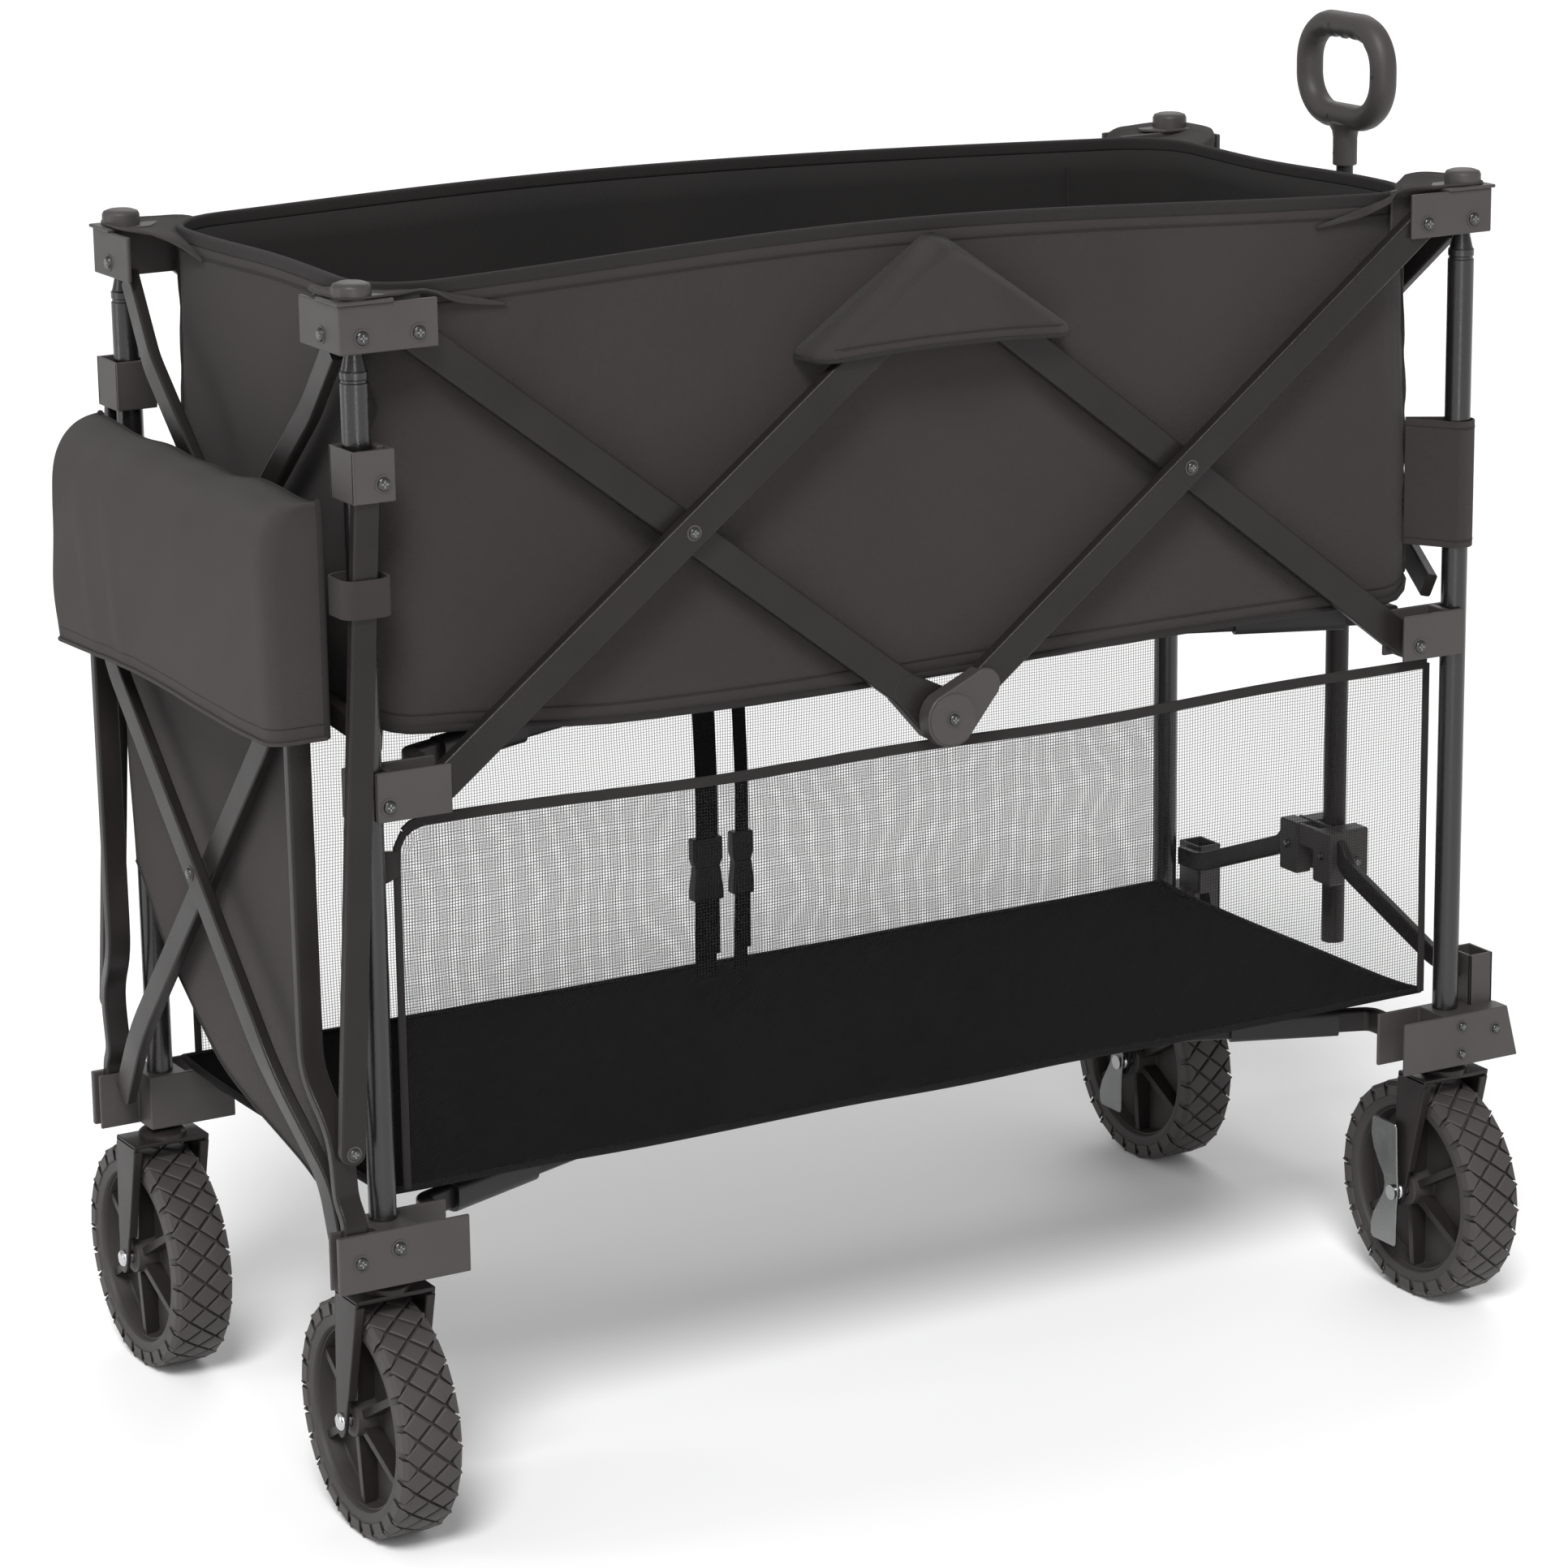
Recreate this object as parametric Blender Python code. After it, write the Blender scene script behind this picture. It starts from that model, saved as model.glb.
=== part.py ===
"""Folding two-deck wagon with a pull handle, casters and a drop-down tailgate.

Metres, +Z up. The origin is on the ground under the middle of the frame, +X runs to the
handle end and +Y to the left side. "near" is the -Y side and "far" is the +Y side.
"""
import math

import bmesh
import bpy
from mathutils import Matrix, Vector

for leftover in list(bpy.data.objects):
    bpy.data.objects.remove(leftover, do_unlink=True)

# Driving dimensions
POST_X = 0.47  # half the distance between rear and front posts
POST_Y = 0.20  # half the distance between near and far posts
POST_R = 0.0095
GAP = 0.0004  # between pieces that touch

WHEEL_R = 0.089
WHEEL_HALF = 0.0225
WHEEL_SIDES = 24
TRAIL = 0.015  # axle behind the swivel axis
AXLE_R = 0.0045
ORIGIN_SHIFT = Vector((0.009, -TRAIL, 0))  # the two ends and sides reach unequally far

LOW_BRACKET_Z = (0.2, 0.243)
MID_BRACKET_Z = (0.537, 0.573)
TOP_BRACKET_Z = (0.868, 0.902)
NECK_Z = 0.846
CAP_TOP_Z = 0.909

PIVOT_IN = 0.043  # side-bar pivot, measured inwards from its post
TOP_PIVOT_Z = 0.878
MID_PIVOT_Z = 0.548
BAR_R = 0.0125
BAR_LAYERS = {"inner": (-0.011, -0.0005), "outer": (0.0005, 0.011)}

BASKET_X = 0.448
BASKET_Y = 0.182
BASKET_Z = (0.583, 0.905)
BASKET_CORNER = 0.06
CLOTH = 0.004
DECK_X = 0.456
DECK_Y = 0.184
DECK_Z = 0.252
NET = 0.0018
NET_TOP_Z = 0.526

GATE_PIVOT = Vector((-POST_X - 0.03, 0, 0.222))
STRUT_PIN = Vector((-POST_X - 0.03, 0, 0.302))
SLIDER_PIN = Vector((-POST_X - 0.002, 0, 0.772))
STRUT_V = (0.0118, 0.0208)  # strut layer outwards of the post axis

HANDLE_PIVOT_Z = 0.318
HANDLE_R = 0.0095
INNER_R = 0.0068

SIDES = {"near": -1, "far": 1}
ENDS = {"rear": -1, "front": 1}


def material(name, colour, roughness, metallic=0.0):
    made = bpy.data.materials.new(name)
    made.use_nodes = True
    shader = made.node_tree.nodes["Principled BSDF"]
    shader.inputs["Base Color"].default_value = (*colour, 1)
    shader.inputs["Roughness"].default_value = roughness
    shader.inputs["Metallic"].default_value = metallic
    return made


STEEL = material("powder_coated_steel", (0.045, 0.041, 0.040), 0.42, 0.3)
PLASTIC = material("moulded_plastic", (0.075, 0.068, 0.066), 0.5)
FABRIC = material("woven_polyester", (0.06, 0.055, 0.053), 0.85)
MESH = material("open_mesh", (0.02, 0.02, 0.02), 0.8)
TYRE = material("wheel_rubber", (0.055, 0.05, 0.049), 0.6)
BRIGHT = material("bright_steel", (0.55, 0.55, 0.56), 0.3, 0.9)


def place(mesh, name, finish, origin=(0, 0, 0)):
    """Object of that mesh, whose world-space points stay put while its origin moves."""
    mesh.transform(Matrix.Translation(-Vector(origin)))
    obj = bpy.data.objects.new(name, mesh)
    obj.location = origin
    bpy.context.scene.collection.objects.link(obj)
    obj.data.materials.append(finish)
    return obj


def closed(bm, name):
    bmesh.ops.recalc_face_normals(bm, faces=bm.faces)
    mesh = bpy.data.meshes.new(name)
    bm.to_mesh(mesh)
    bm.free()
    return mesh


def prism(outline, low, high, normal="Y"):
    """Closed extrusion of a 2D outline, along Y from (x, z), X from (y, z) or Z from (x, y)."""
    order = {"Y": (0, 2, 1), "X": (2, 0, 1), "Z": (0, 1, 2)}[normal]

    def point(pair, height):
        flat = (pair[0], pair[1], height)
        return Vector([flat[i] for i in order])

    bm = bmesh.new()
    rings = [[bm.verts.new(point(p, h)) for p in outline] for h in (low, high)]
    count = len(outline)
    for i in range(count):
        j = (i + 1) % count
        bm.faces.new((rings[0][i], rings[0][j], rings[1][j], rings[1][i]))
    bm.faces.new(rings[0])
    bm.faces.new(rings[1])
    return closed(bm, "prism")


def sweep(points, width_axis, width, depth):
    """Rectangular bar through 3D points. width is along width_axis, depth across it."""
    path = [Vector(p) for p in points]
    across = Vector(width_axis).normalized()
    bm = bmesh.new()
    rings = []
    for i, here in enumerate(path):
        before = (here - path[i - 1]).normalized() if i else None
        after = (path[i + 1] - here).normalized() if i + 1 < len(path) else None
        along = ((before or after) + (after or before)).normalized()
        side = (across - along * across.dot(along)).normalized()
        other = along.cross(side)
        stretch = 1 / max(0.6, along.dot(before or after))
        corners = ((1, 1), (-1, 1), (-1, -1), (1, -1))
        rings.append([
            bm.verts.new(here + side * a * width / 2 + other * b * stretch * depth / 2)
            for a, b in corners
        ])
    for first, second in zip(rings, rings[1:]):
        for i in range(4):
            j = (i + 1) % 4
            bm.faces.new((first[i], first[j], second[j], second[i]))
    bm.faces.new(rings[0])
    bm.faces.new(rings[-1])
    bmesh.ops.triangulate(bm, faces=bm.faces)
    return closed(bm, "bar")


def turned(profile, segments=16, axis="Z", centre=(0, 0, 0), ring=False):
    """Solid of revolution from (radius, height) pairs. ring closes the profile on itself."""
    bm = bmesh.new()
    rings = []
    for radius, height in profile:
        turn = [2 * math.pi * (k + 0.5) / segments for k in range(segments)]
        rings.append([
            bm.verts.new((radius * math.cos(t), radius * math.sin(t), height)) for t in turn
        ])
    pairs = list(zip(rings, rings[1:]))
    if ring:
        pairs.append((rings[-1], rings[0]))
    for first, second in pairs:
        for i in range(segments):
            j = (i + 1) % segments
            bm.faces.new((first[i], first[j], second[j], second[i]))
    if not ring:
        bm.faces.new(rings[0])
        bm.faces.new(rings[-1])
    if axis == "X":
        bmesh.ops.rotate(bm, matrix=Matrix.Rotation(math.pi / 2, 3, "Y"), verts=bm.verts)
    if axis == "Y":
        bmesh.ops.rotate(bm, matrix=Matrix.Rotation(-math.pi / 2, 3, "X"), verts=bm.verts)
    bmesh.ops.translate(bm, vec=Vector(centre), verts=bm.verts)
    return closed(bm, "turned")


def smooth(obj, angle=35):
    obj.data.shade_smooth()
    obj.data.set_sharp_from_angle(angle=math.radians(angle))
    return obj


def boolean(obj, tool_mesh, operation):
    """Adds or cuts a hidden helper."""
    helper = place(tool_mesh, obj.name + "_helper", obj.data.materials[0])
    helper.hide_render = True
    helper.display_type = "WIRE"
    change = obj.modifiers.new(operation.lower(), "BOOLEAN")
    change.operation = operation
    change.solver = "EXACT"
    change.object = helper


def stadium(start, end, start_r, end_r, steps=6):
    """Outline of a flat bar with round ends, in its own plane."""
    ax, az = start
    bx, bz = end
    turn = math.atan2(bz - az, bx - ax)
    outline = []
    for k in range(steps + 1):
        t = turn + math.pi / 2 + math.pi * k / steps
        outline.append((ax + start_r * math.cos(t), az + start_r * math.sin(t)))
    for k in range(steps + 1):
        t = turn - math.pi / 2 + math.pi * k / steps
        outline.append((bx + end_r * math.cos(t), bz + end_r * math.sin(t)))
    return outline


def plan(points, end, side):
    """Plan outline from (u, v): u inwards from the post, v outwards across the wagon."""
    return [(end * (POST_X - u), side * (POST_Y + v)) for u, v in points]


def rounded_rectangle(half_x, half_y, radius, steps):
    outline = []
    for cx, cy, start in ((1, 1, 0), (-1, 1, 90), (-1, -1, 180), (1, -1, 270)):
        for k in range(steps + 1):
            t = math.radians(start + 90 * k / steps)
            outline.append((
                cx * (half_x - radius) + radius * math.cos(t),
                cy * (half_y - radius) + radius * math.sin(t),
            ))
    return outline


# Frame posts and their brackets
def post(end, side):
    where = (ENDS[end] * POST_X, SIDES[side] * POST_Y, 0)
    low = LOW_BRACKET_Z[1] + GAP
    high = TOP_BRACKET_Z[0] - GAP
    profile = [(POST_R, low), (POST_R, NECK_Z - 0.012), (0.0078, NECK_Z - 0.007),
               (0.0078, NECK_Z), (0.0062, high)]
    smooth(place(turned(profile, 16, "Z", where), f"{end}_post_{side}", STEEL, where))


def top_bracket(end, side):
    """Core over the post with a forked wing for the side bars and one for the end bars."""
    low, high = TOP_BRACKET_Z
    outline = [(-0.017, 0.015), (0.058, 0.015), (0.058, 0.0118), (0.0165, 0.0118),
               (0.0165, -0.0118), (0.058, -0.0118), (0.058, -0.015), (0.0165, -0.015),
               (-0.0135, -0.015), (-0.0135, -0.05), (-0.017, -0.05)]
    name = f"{end}_top_bracket_{side}"
    shape = prism(plan(outline, ENDS[end], SIDES[side]), low, high, "Z")
    origin = (ENDS[end] * POST_X, SIDES[side] * POST_Y, low)
    obj = place(shape, name, PLASTIC, origin)
    cap = [(0.0125, high - 0.004), (0.0125, high + 0.002), (0.0105, CAP_TOP_Z)]
    boolean(obj, turned(cap, 16, "Z", (origin[0], origin[1], 0)), "UNION")


def mid_bracket(end, side):
    """Sliding collar, open towards the end of the wagon, with the fork of the side bars."""
    low, high = MID_BRACKET_Z
    free = POST_R + 0.0008
    outline = [(0.0, 0.015), (0.058, 0.015), (0.058, 0.0118), (0.0165, 0.0118),
               (0.0165, -0.0118), (0.058, -0.0118), (0.058, -0.015), (-0.0135, -0.015),
               (-0.0135, -free), (free, -free), (free, free), (0.0, free)]
    shape = prism(plan(outline, ENDS[end], SIDES[side]), low, high, "Z")
    pivot = (ENDS[end] * (POST_X - PIVOT_IN), SIDES[side] * POST_Y, MID_PIVOT_Z)
    place(shape, f"{end}_mid_bracket_{side}", PLASTIC, pivot)


TOWER_TOP_Z = 0.284


def low_bracket(end, side):
    """Socket under the post. The rear one has the tailgate fork, the front one a wing."""
    low, high = LOW_BRACKET_Z
    rear = [(-0.047, 0.0265), (0.056, 0.0265), (0.056, 0.0232), (0.0165, 0.0232),
            (0.0165, -0.0118), (0.056, -0.0118), (0.056, -0.015), (-0.015, -0.015),
            (-0.015, 0.0083), (-0.047, 0.0083), (-0.047, 0.0113), (-0.015, 0.0113),
            (-0.015, 0.0214), (-0.047, 0.0214)]
    front = [(-0.056, 0.0232), (0.056, 0.0232), (0.056, 0.02), (0.0165, 0.02),
             (0.0165, -0.0118), (0.056, -0.0118), (0.056, -0.015), (-0.015, -0.015),
             (-0.015, -0.024), (-0.042, -0.024), (-0.056, 0.008)]
    shape = prism(plan(rear if end == "rear" else front, ENDS[end], SIDES[side]), low, high, "Z")
    origin = (ENDS[end] * POST_X, SIDES[side] * POST_Y, low)
    obj = place(shape, f"{end}_low_bracket_{side}", PLASTIC, origin)
    if end == "front":
        tower = [(-0.042, -0.024), (-0.0197, -0.024), (-0.0197, 0.006), (-0.042, 0.006)]
        boolean(obj, prism(plan(tower, 1, SIDES[side]), high - 0.005, TOWER_TOP_Z, "Z"), "UNION")


for end in ENDS:
    for side in SIDES:
        post(end, side)
        top_bracket(end, side)
        mid_bracket(end, side)
        low_bracket(end, side)


# Side scissors. Each side has four bars that cross in pairs and meet at a hub and a peak.
PIVOT_X = POST_X - PIVOT_IN
SIDE_BARS = {
    "rear_drop": ((-PIVOT_X, TOP_PIVOT_Z), (0, MID_PIVOT_Z), "inner", 0.021),
    "rear_rise": ((-PIVOT_X, MID_PIVOT_Z), (0, TOP_PIVOT_Z), "outer", BAR_R),
    "front_rise": ((PIVOT_X, MID_PIVOT_Z), (0, TOP_PIVOT_Z), "inner", BAR_R),
    "front_drop": ((PIVOT_X, TOP_PIVOT_Z), (0, MID_PIVOT_Z), "outer", 0.021),
}


def side_bar(name, side):
    """Flat-sided tube. The bars that meet at the hub carry its round knuckle."""
    start, middle, layer, knuckle = SIDE_BARS[name]
    low, high = BAR_LAYERS[layer]
    span = sorted(SIDES[side] * (POST_Y + v) for v in (low, high))
    bar = prism(stadium(start, middle, BAR_R, BAR_R), *span, "Y")
    obj = place(bar, f"{name}_bar_{side}", STEEL, (start[0], SIDES[side] * POST_Y, start[1]))
    if knuckle > BAR_R:
        toward = Vector((start[0] - middle[0], start[1] - middle[1])).normalized() * 0.045
        foot = (middle[0] + toward.x, middle[1] + toward.y)
        deeper = (low - 0.004, high) if layer == "inner" else (low, high + 0.004)
        span = sorted(SIDES[side] * (POST_Y + v) for v in deeper)
        boolean(obj, prism(stadium(foot, middle, 0.0155, knuckle, 8), *span, "Y"), "UNION")


for side in SIDES:
    for name in SIDE_BARS:
        side_bar(name, side)


# End crosses, bolted between the top brackets and the inner faces of the opposite posts
CROSS_FOOT_Z = 0.588
CROSS_HIGH = (0.118, 0.814)  # upper bend of a cross bar, Y towards its own side and Z
CROSS_LOW = (0.1, 0.619)  # lower bend, Y towards the other side and Z
CROSS_SEAT = 0.0052  # from a post's inner face to the middle of the bar's foot


def cross_bar(end, from_side, depth):
    """Cranked bar from one top bracket down to the other post."""
    sign = SIDES[from_side]
    at = ENDS[end]
    inner = at * (POST_X - POST_R - CROSS_SEAT)
    plane = at * (POST_X + depth)
    top = (at * (POST_X + 0.004), sign * (POST_Y - 0.022), TOP_PIVOT_Z - 0.0105)
    foot = (inner, -sign * (POST_Y - 0.013), CROSS_FOOT_Z)
    high = (plane, sign * CROSS_HIGH[0], CROSS_HIGH[1])
    low = (plane, -sign * CROSS_LOW[0], CROSS_LOW[1])
    path = [top, high, low, foot]
    shape = sweep(path, (0, 0.66, -0.75 * sign), 0.02, 0.009)
    place(shape, f"{end}_cross_bar_{from_side}", STEEL, top)


for end in ENDS:
    cross_bar(end, "near", -0.004)
    cross_bar(end, "far", 0.0145)


# Basket, lower deck and side meshes
def basket():
    outline = rounded_rectangle(BASKET_X, BASKET_Y, BASKET_CORNER, 5)
    inside = rounded_rectangle(BASKET_X - CLOTH, BASKET_Y - CLOTH, BASKET_CORNER - CLOTH, 5)
    low, high = BASKET_Z
    obj = place(prism(outline, low, high, "Z"), "basket", FABRIC, (-BASKET_X, 0, low))
    boolean(obj, prism(inside, low + CLOTH, high + 0.05, "Z"), "DIFFERENCE")


def deck():
    outline = rounded_rectangle(DECK_X, DECK_Y, 0.012, 2)
    obj = prism(outline, DECK_Z - 0.002, DECK_Z + 0.002, "Z")
    place(obj, "lower_deck", FABRIC, (-POST_X, 0, DECK_Z))


def side_mesh(side):
    """Flat net from the deck edge up to just under the mid brackets."""
    outline = [(-POST_X + 0.018, DECK_Z + 0.0024), (POST_X - 0.018, DECK_Z + 0.0024),
               (POST_X - 0.014, NET_TOP_Z), (-POST_X + 0.014, NET_TOP_Z)]
    span = sorted(SIDES[side] * (DECK_Y + v) for v in (GAP, NET + GAP))
    place(prism(outline, *span, "Y"), f"side_mesh_{side}", MESH, (-POST_X, 0, DECK_Z))


basket()
deck()
for side in SIDES:
    side_mesh(side)


# Support frames that hold the basket floor and the deck, hinged on the brackets
SUPPORT_TIP = 0.07
SUPPORTS = {"basket": (0.566, 0.047), "deck": (0.232, 0.047)}


def support(kind, end):
    """Bar that runs from the near bracket to the middle and back to the far one."""
    height, pivot_in = SUPPORTS[kind]
    at = ENDS[end]
    root_x = at * (POST_X - pivot_in)
    tip_x = at * SUPPORT_TIP
    path = [(root_x, -0.168, height), (tip_x, -0.03, height), (tip_x, 0.03, height),
            (root_x, 0.168, height)]
    shape = sweep(path, (0, 0, 1), 0.018, 0.012)
    place(shape, f"{kind}_support_{end}", STEEL, (root_x, 0, height))


for kind in SUPPORTS:
    for end in ENDS:
        support(kind, end)


# Tailgate: rails on the lower brackets, a cross, a fabric panel and a hood over its top
def slider(side):
    """Collar on the rear post that the strut hangs from."""
    free = POST_R + 0.0008
    outline = [(-0.0145, 0.0245), (0.0175, 0.0245), (0.0175, -0.0135), (-0.0145, -0.0135),
               (-0.0145, -free), (free, -free), (free, free), (0.0145, free + 0.0006),
               (0.0145, 0.0213), (-0.0145, 0.0213)]
    shape = prism(plan(outline, -1, SIDES[side]), 0.766, 0.803, "Z")
    place(shape, f"rear_slider_{side}", PLASTIC, (-POST_X, SIDES[side] * POST_Y, 0.766))


def strut(side):
    start = (SLIDER_PIN.x, SLIDER_PIN.z + 0.006)
    end = (STRUT_PIN.x, STRUT_PIN.z)
    span = sorted(SIDES[side] * (POST_Y + v) for v in STRUT_V)
    shape = prism(stadium(start, end, 0.0095, 0.0095), *span, "Y")
    place(shape, f"rear_strut_{side}", STEEL, (start[0], SIDES[side] * POST_Y, start[1]))


def gate_rail(side):
    """Cranked side rail: a short foot in the bracket, then the rail up to the hood."""
    sign = SIDES[side]
    x = GATE_PIVOT.x
    foot_y = sign * (POST_Y + 0.0163)
    rail_y = sign * (POST_Y - 0.026)
    neck_y = sign * (POST_Y + 0.006)
    path = [(x, foot_y, 0.211), (x, foot_y, 0.2505), (x - 0.001, neck_y, 0.2645),
            (x - 0.004, neck_y, 0.312), (x - 0.01, rail_y, 0.352), (x - 0.012, rail_y, 0.725)]
    shape = sweep(path, (1, 0, 0), 0.018, 0.009)
    place(shape, f"gate_rail_{side}", STEEL, (x, foot_y, GATE_PIVOT.z))


def gate_cross():
    """Two bars from the foot of one rail to the head of the other. The near one is cranked over."""
    x = GATE_PIVOT.x - 0.0215
    foot_y = POST_Y - 0.006
    near = [(x + 0.0195, -foot_y, 0.232), (x + 0.0195, -foot_y + 0.014, 0.27),
            (x, -0.128, 0.345), (x, 0.135, 0.6), (x, 0.145, 0.725)]
    x = GATE_PIVOT.x - 0.0095
    far = [(x + 0.0075, foot_y - 0.002, 0.232), (x, 0.14, 0.296), (x, -0.135, 0.6),
           (x, -0.145, 0.725)]
    for side, path in (("near", near), ("far", far)):
        place(sweep(path, (0, 1, 0), 0.021, 0.009), f"gate_cross_bar_{side}", STEEL, path[0])


def gate_hood():
    """Folded fabric cover: outer face, rounded top and a short inner return."""
    x = GATE_PIVOT.x
    outer = [(x - 0.042, 0.6), (x - 0.044, 0.66), (x - 0.0425, 0.735), (x - 0.035, 0.757),
             (x - 0.022, 0.766), (x - 0.004, 0.76), (x + 0.003, 0.742), (x + 0.003, 0.69)]
    inner = [(x - 0.001, 0.69), (x - 0.001, 0.74), (x - 0.007, 0.7555),
             (x - 0.022, 0.7615), (x - 0.032, 0.754), (x - 0.0385, 0.732),
             (x - 0.04, 0.66), (x - 0.038, 0.6)]
    span = (-POST_Y + 0.004, POST_Y - 0.004)
    place(prism(outer + inner, *span, "Y"), "gate_hood", FABRIC, (x, 0, 0.69))


def gate_panel():
    x = GATE_PIVOT.x
    outline = [(-0.163, 0.252), (-0.06, 0.274), (0.02, 0.3), (0.09, 0.336), (0.163, 0.42),
               (0.163, 0.608), (-0.163, 0.608)]
    place(prism(outline, x + 0.0055, x + 0.0085, "X"), "gate_panel", FABRIC, (x, 0, 0.246))


for side in SIDES:
    slider(side)
    strut(side)
    gate_rail(side)
gate_cross()
gate_hood()
gate_panel()


# Pull handle on the front end
SPREADER_X = POST_X + 0.0152
SPREADER_DEPTH = 0.008
BLOCK_BACK = SPREADER_X + SPREADER_DEPTH / 2 + GAP
BLOCK_PLATE = 0.004
HANDLE_AXIS_X = BLOCK_BACK + BLOCK_PLATE + 0.0012 + HANDLE_R
HANDLE_LOW_Z = 0.243
HANDLE_TOP_Z = 0.86
GRIP_LOW_Z = 0.893


def handle_spreader():
    """Bent bar between the two front towers, which carries the handle block."""
    reach = POST_Y - 0.004
    path = [(SPREADER_X, -reach, 0.272), (SPREADER_X, -reach + 0.03, 0.272),
            (SPREADER_X, -0.045, 0.341), (SPREADER_X, 0.045, 0.341),
            (SPREADER_X, reach - 0.03, 0.272), (SPREADER_X, reach, 0.272)]
    shape = sweep(path, (0, 0, 1), 0.016, SPREADER_DEPTH)
    place(shape, "handle_spreader", STEEL, (SPREADER_X, 0, 0.341))


def handle_block():
    """Clevis on the spreader: a plate with two cheeks that reach below it to the pivot."""
    low, plate_low, high = 0.304, 0.332, 0.353
    front = HANDLE_AXIS_X + 0.013
    plate = [(BLOCK_BACK, -0.031), (BLOCK_BACK + BLOCK_PLATE, -0.031),
             (BLOCK_BACK + BLOCK_PLATE, 0.031), (BLOCK_BACK, 0.031)]
    obj = place(prism(plate, plate_low, high, "Z"), "handle_block", PLASTIC,
                (BLOCK_BACK, 0, plate_low))
    for side in SIDES.values():
        cheek = [(BLOCK_BACK, side * 0.0112), (front, side * 0.0112),
                 (front, side * 0.0305), (BLOCK_BACK, side * 0.0305)]
        boolean(obj, prism(cheek, low, high - 0.0005, "Z"), "UNION")


def outer_tube():
    where = (HANDLE_AXIS_X, 0, 0)
    outer = [(HANDLE_R, HANDLE_LOW_Z), (HANDLE_R, HANDLE_TOP_Z)]
    obj = place(turned(outer, 16, "Z", where), "handle_outer_tube", STEEL,
                (HANDLE_AXIS_X, 0, HANDLE_PIVOT_Z))
    bore = [(INNER_R + 0.0006, 0.42), (INNER_R + 0.0006, HANDLE_TOP_Z + 0.02)]
    boolean(obj, turned(bore, 16, "Z", where), "DIFFERENCE")
    smooth(obj)


def grip():
    """Inner tube with a moulded loop handle on its top."""
    where = (HANDLE_AXIS_X, 0, 0)
    tube = [(INNER_R, 0.43), (INNER_R, GRIP_LOW_Z + 0.002)]
    obj = place(turned(tube, 16, "Z", where), "grip_and_inner_tube", PLASTIC,
                (HANDLE_AXIS_X, 0, HANDLE_TOP_Z))
    stem = [(0.0095, GRIP_LOW_Z), (0.0095, GRIP_LOW_Z + 0.035)]
    boolean(obj, turned(stem, 16, "Z", where), "UNION")
    half_y, half_z, radius, section = 0.0495, 0.0365, 0.0325, 0.0098
    centre_z = GRIP_LOW_Z + 0.039 + half_z
    bm = bmesh.new()
    rings = []
    for y, z in rounded_rectangle(half_y, half_z, radius, 4):
        out = Vector((0, y, z)).normalized()
        rings.append([
            bm.verts.new(Vector((HANDLE_AXIS_X, 0, centre_z)) + Vector((0, y, z))
                         + section * (out * math.cos(t) + Vector((1, 0, 0)) * math.sin(t)))
            for t in (2 * math.pi * k / 8 for k in range(8))
        ])
    for i, ring in enumerate(rings):
        following = rings[(i + 1) % len(rings)]
        for k in range(8):
            m = (k + 1) % 8
            bm.faces.new((ring[k], ring[m], following[m], following[k]))
    boolean(obj, closed(bm, "loop"), "UNION")
    smooth(obj, 40)


handle_spreader()
handle_block()
outer_tube()
grip()


# Casters
FORK_OUT, FORK_IN, FORK_TOP = 0.0315, 0.0285, 0.1905


def caster(end, side):
    """Fork with its kingpin and axle, the wheel, and a brake rocker on the front ones."""
    x = ENDS[end] * POST_X
    y = SIDES[side] * POST_Y
    outline = [(-FORK_OUT, WHEEL_R - 0.011), (-FORK_IN, WHEEL_R - 0.011),
               (-FORK_IN, FORK_TOP - 0.005), (FORK_IN, FORK_TOP - 0.005),
               (FORK_IN, WHEEL_R - 0.011), (FORK_OUT, WHEEL_R - 0.011),
               (FORK_OUT, FORK_TOP), (-FORK_OUT, FORK_TOP)]
    shape = prism([(x + px, pz) for px, pz in outline], y - 0.012, y + 0.012, "Y")
    for vertex in shape.vertices:
        down = (FORK_TOP - vertex.co.z) / (FORK_TOP - WHEEL_R)
        centre = y + TRAIL * down
        vertex.co.y = centre + (vertex.co.y - y) * (1.5 - 0.85 * min(down, 1))
    fork = place(shape, f"{end}_fork_{side}", STEEL, (x, y, FORK_TOP))
    kingpin = [(0.007, FORK_TOP - 0.003), (0.007, LOW_BRACKET_Z[0] - GAP)]
    boolean(fork, turned(kingpin, 12, "Z", (x, y, 0)), "UNION")
    hub = (x, y + TRAIL, WHEEL_R)
    rod = [(AXLE_R, -FORK_OUT - 0.002), (AXLE_R, FORK_OUT + 0.002)]
    boolean(fork, turned(rod, 12, "X", hub), "UNION")

    half = WHEEL_HALF
    bore = AXLE_R + 0.0005
    flat = 1 / math.cos(math.pi / WHEEL_SIDES)  # the flats, not the corners, reach the ground
    left = [(bore, -0.0245), (0.013, -0.0245), (0.015, -0.006), (0.064, -0.006),
            (0.067, -half + 0.002), (0.084, -half), (WHEEL_R * flat, -half + 0.007)]
    profile = left + [(r, -h) for r, h in reversed(left)]
    smooth(place(turned(profile, WHEEL_SIDES, "X", hub, ring=True), f"{end}_wheel_{side}", TYRE, hub), 30)

    if end == "front":
        lever_x = x - FORK_OUT - 0.0024
        lobes = [(-0.006, -0.008), (-0.004, -0.044), (0.026, -0.044), (0.027, -0.028),
                 (0.013, -0.006), (0.011, 0.006), (0.014, 0.016), (0.028, 0.034),
                 (0.026, 0.056), (-0.003, 0.056), (-0.006, 0.012)]
        spot = [(hub[1] + a, hub[2] + b) for a, b in lobes]
        lever = prism(spot, lever_x - 0.003, lever_x, "X")
        place(lever, f"brake_lever_{side}", BRIGHT, hub)


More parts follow.
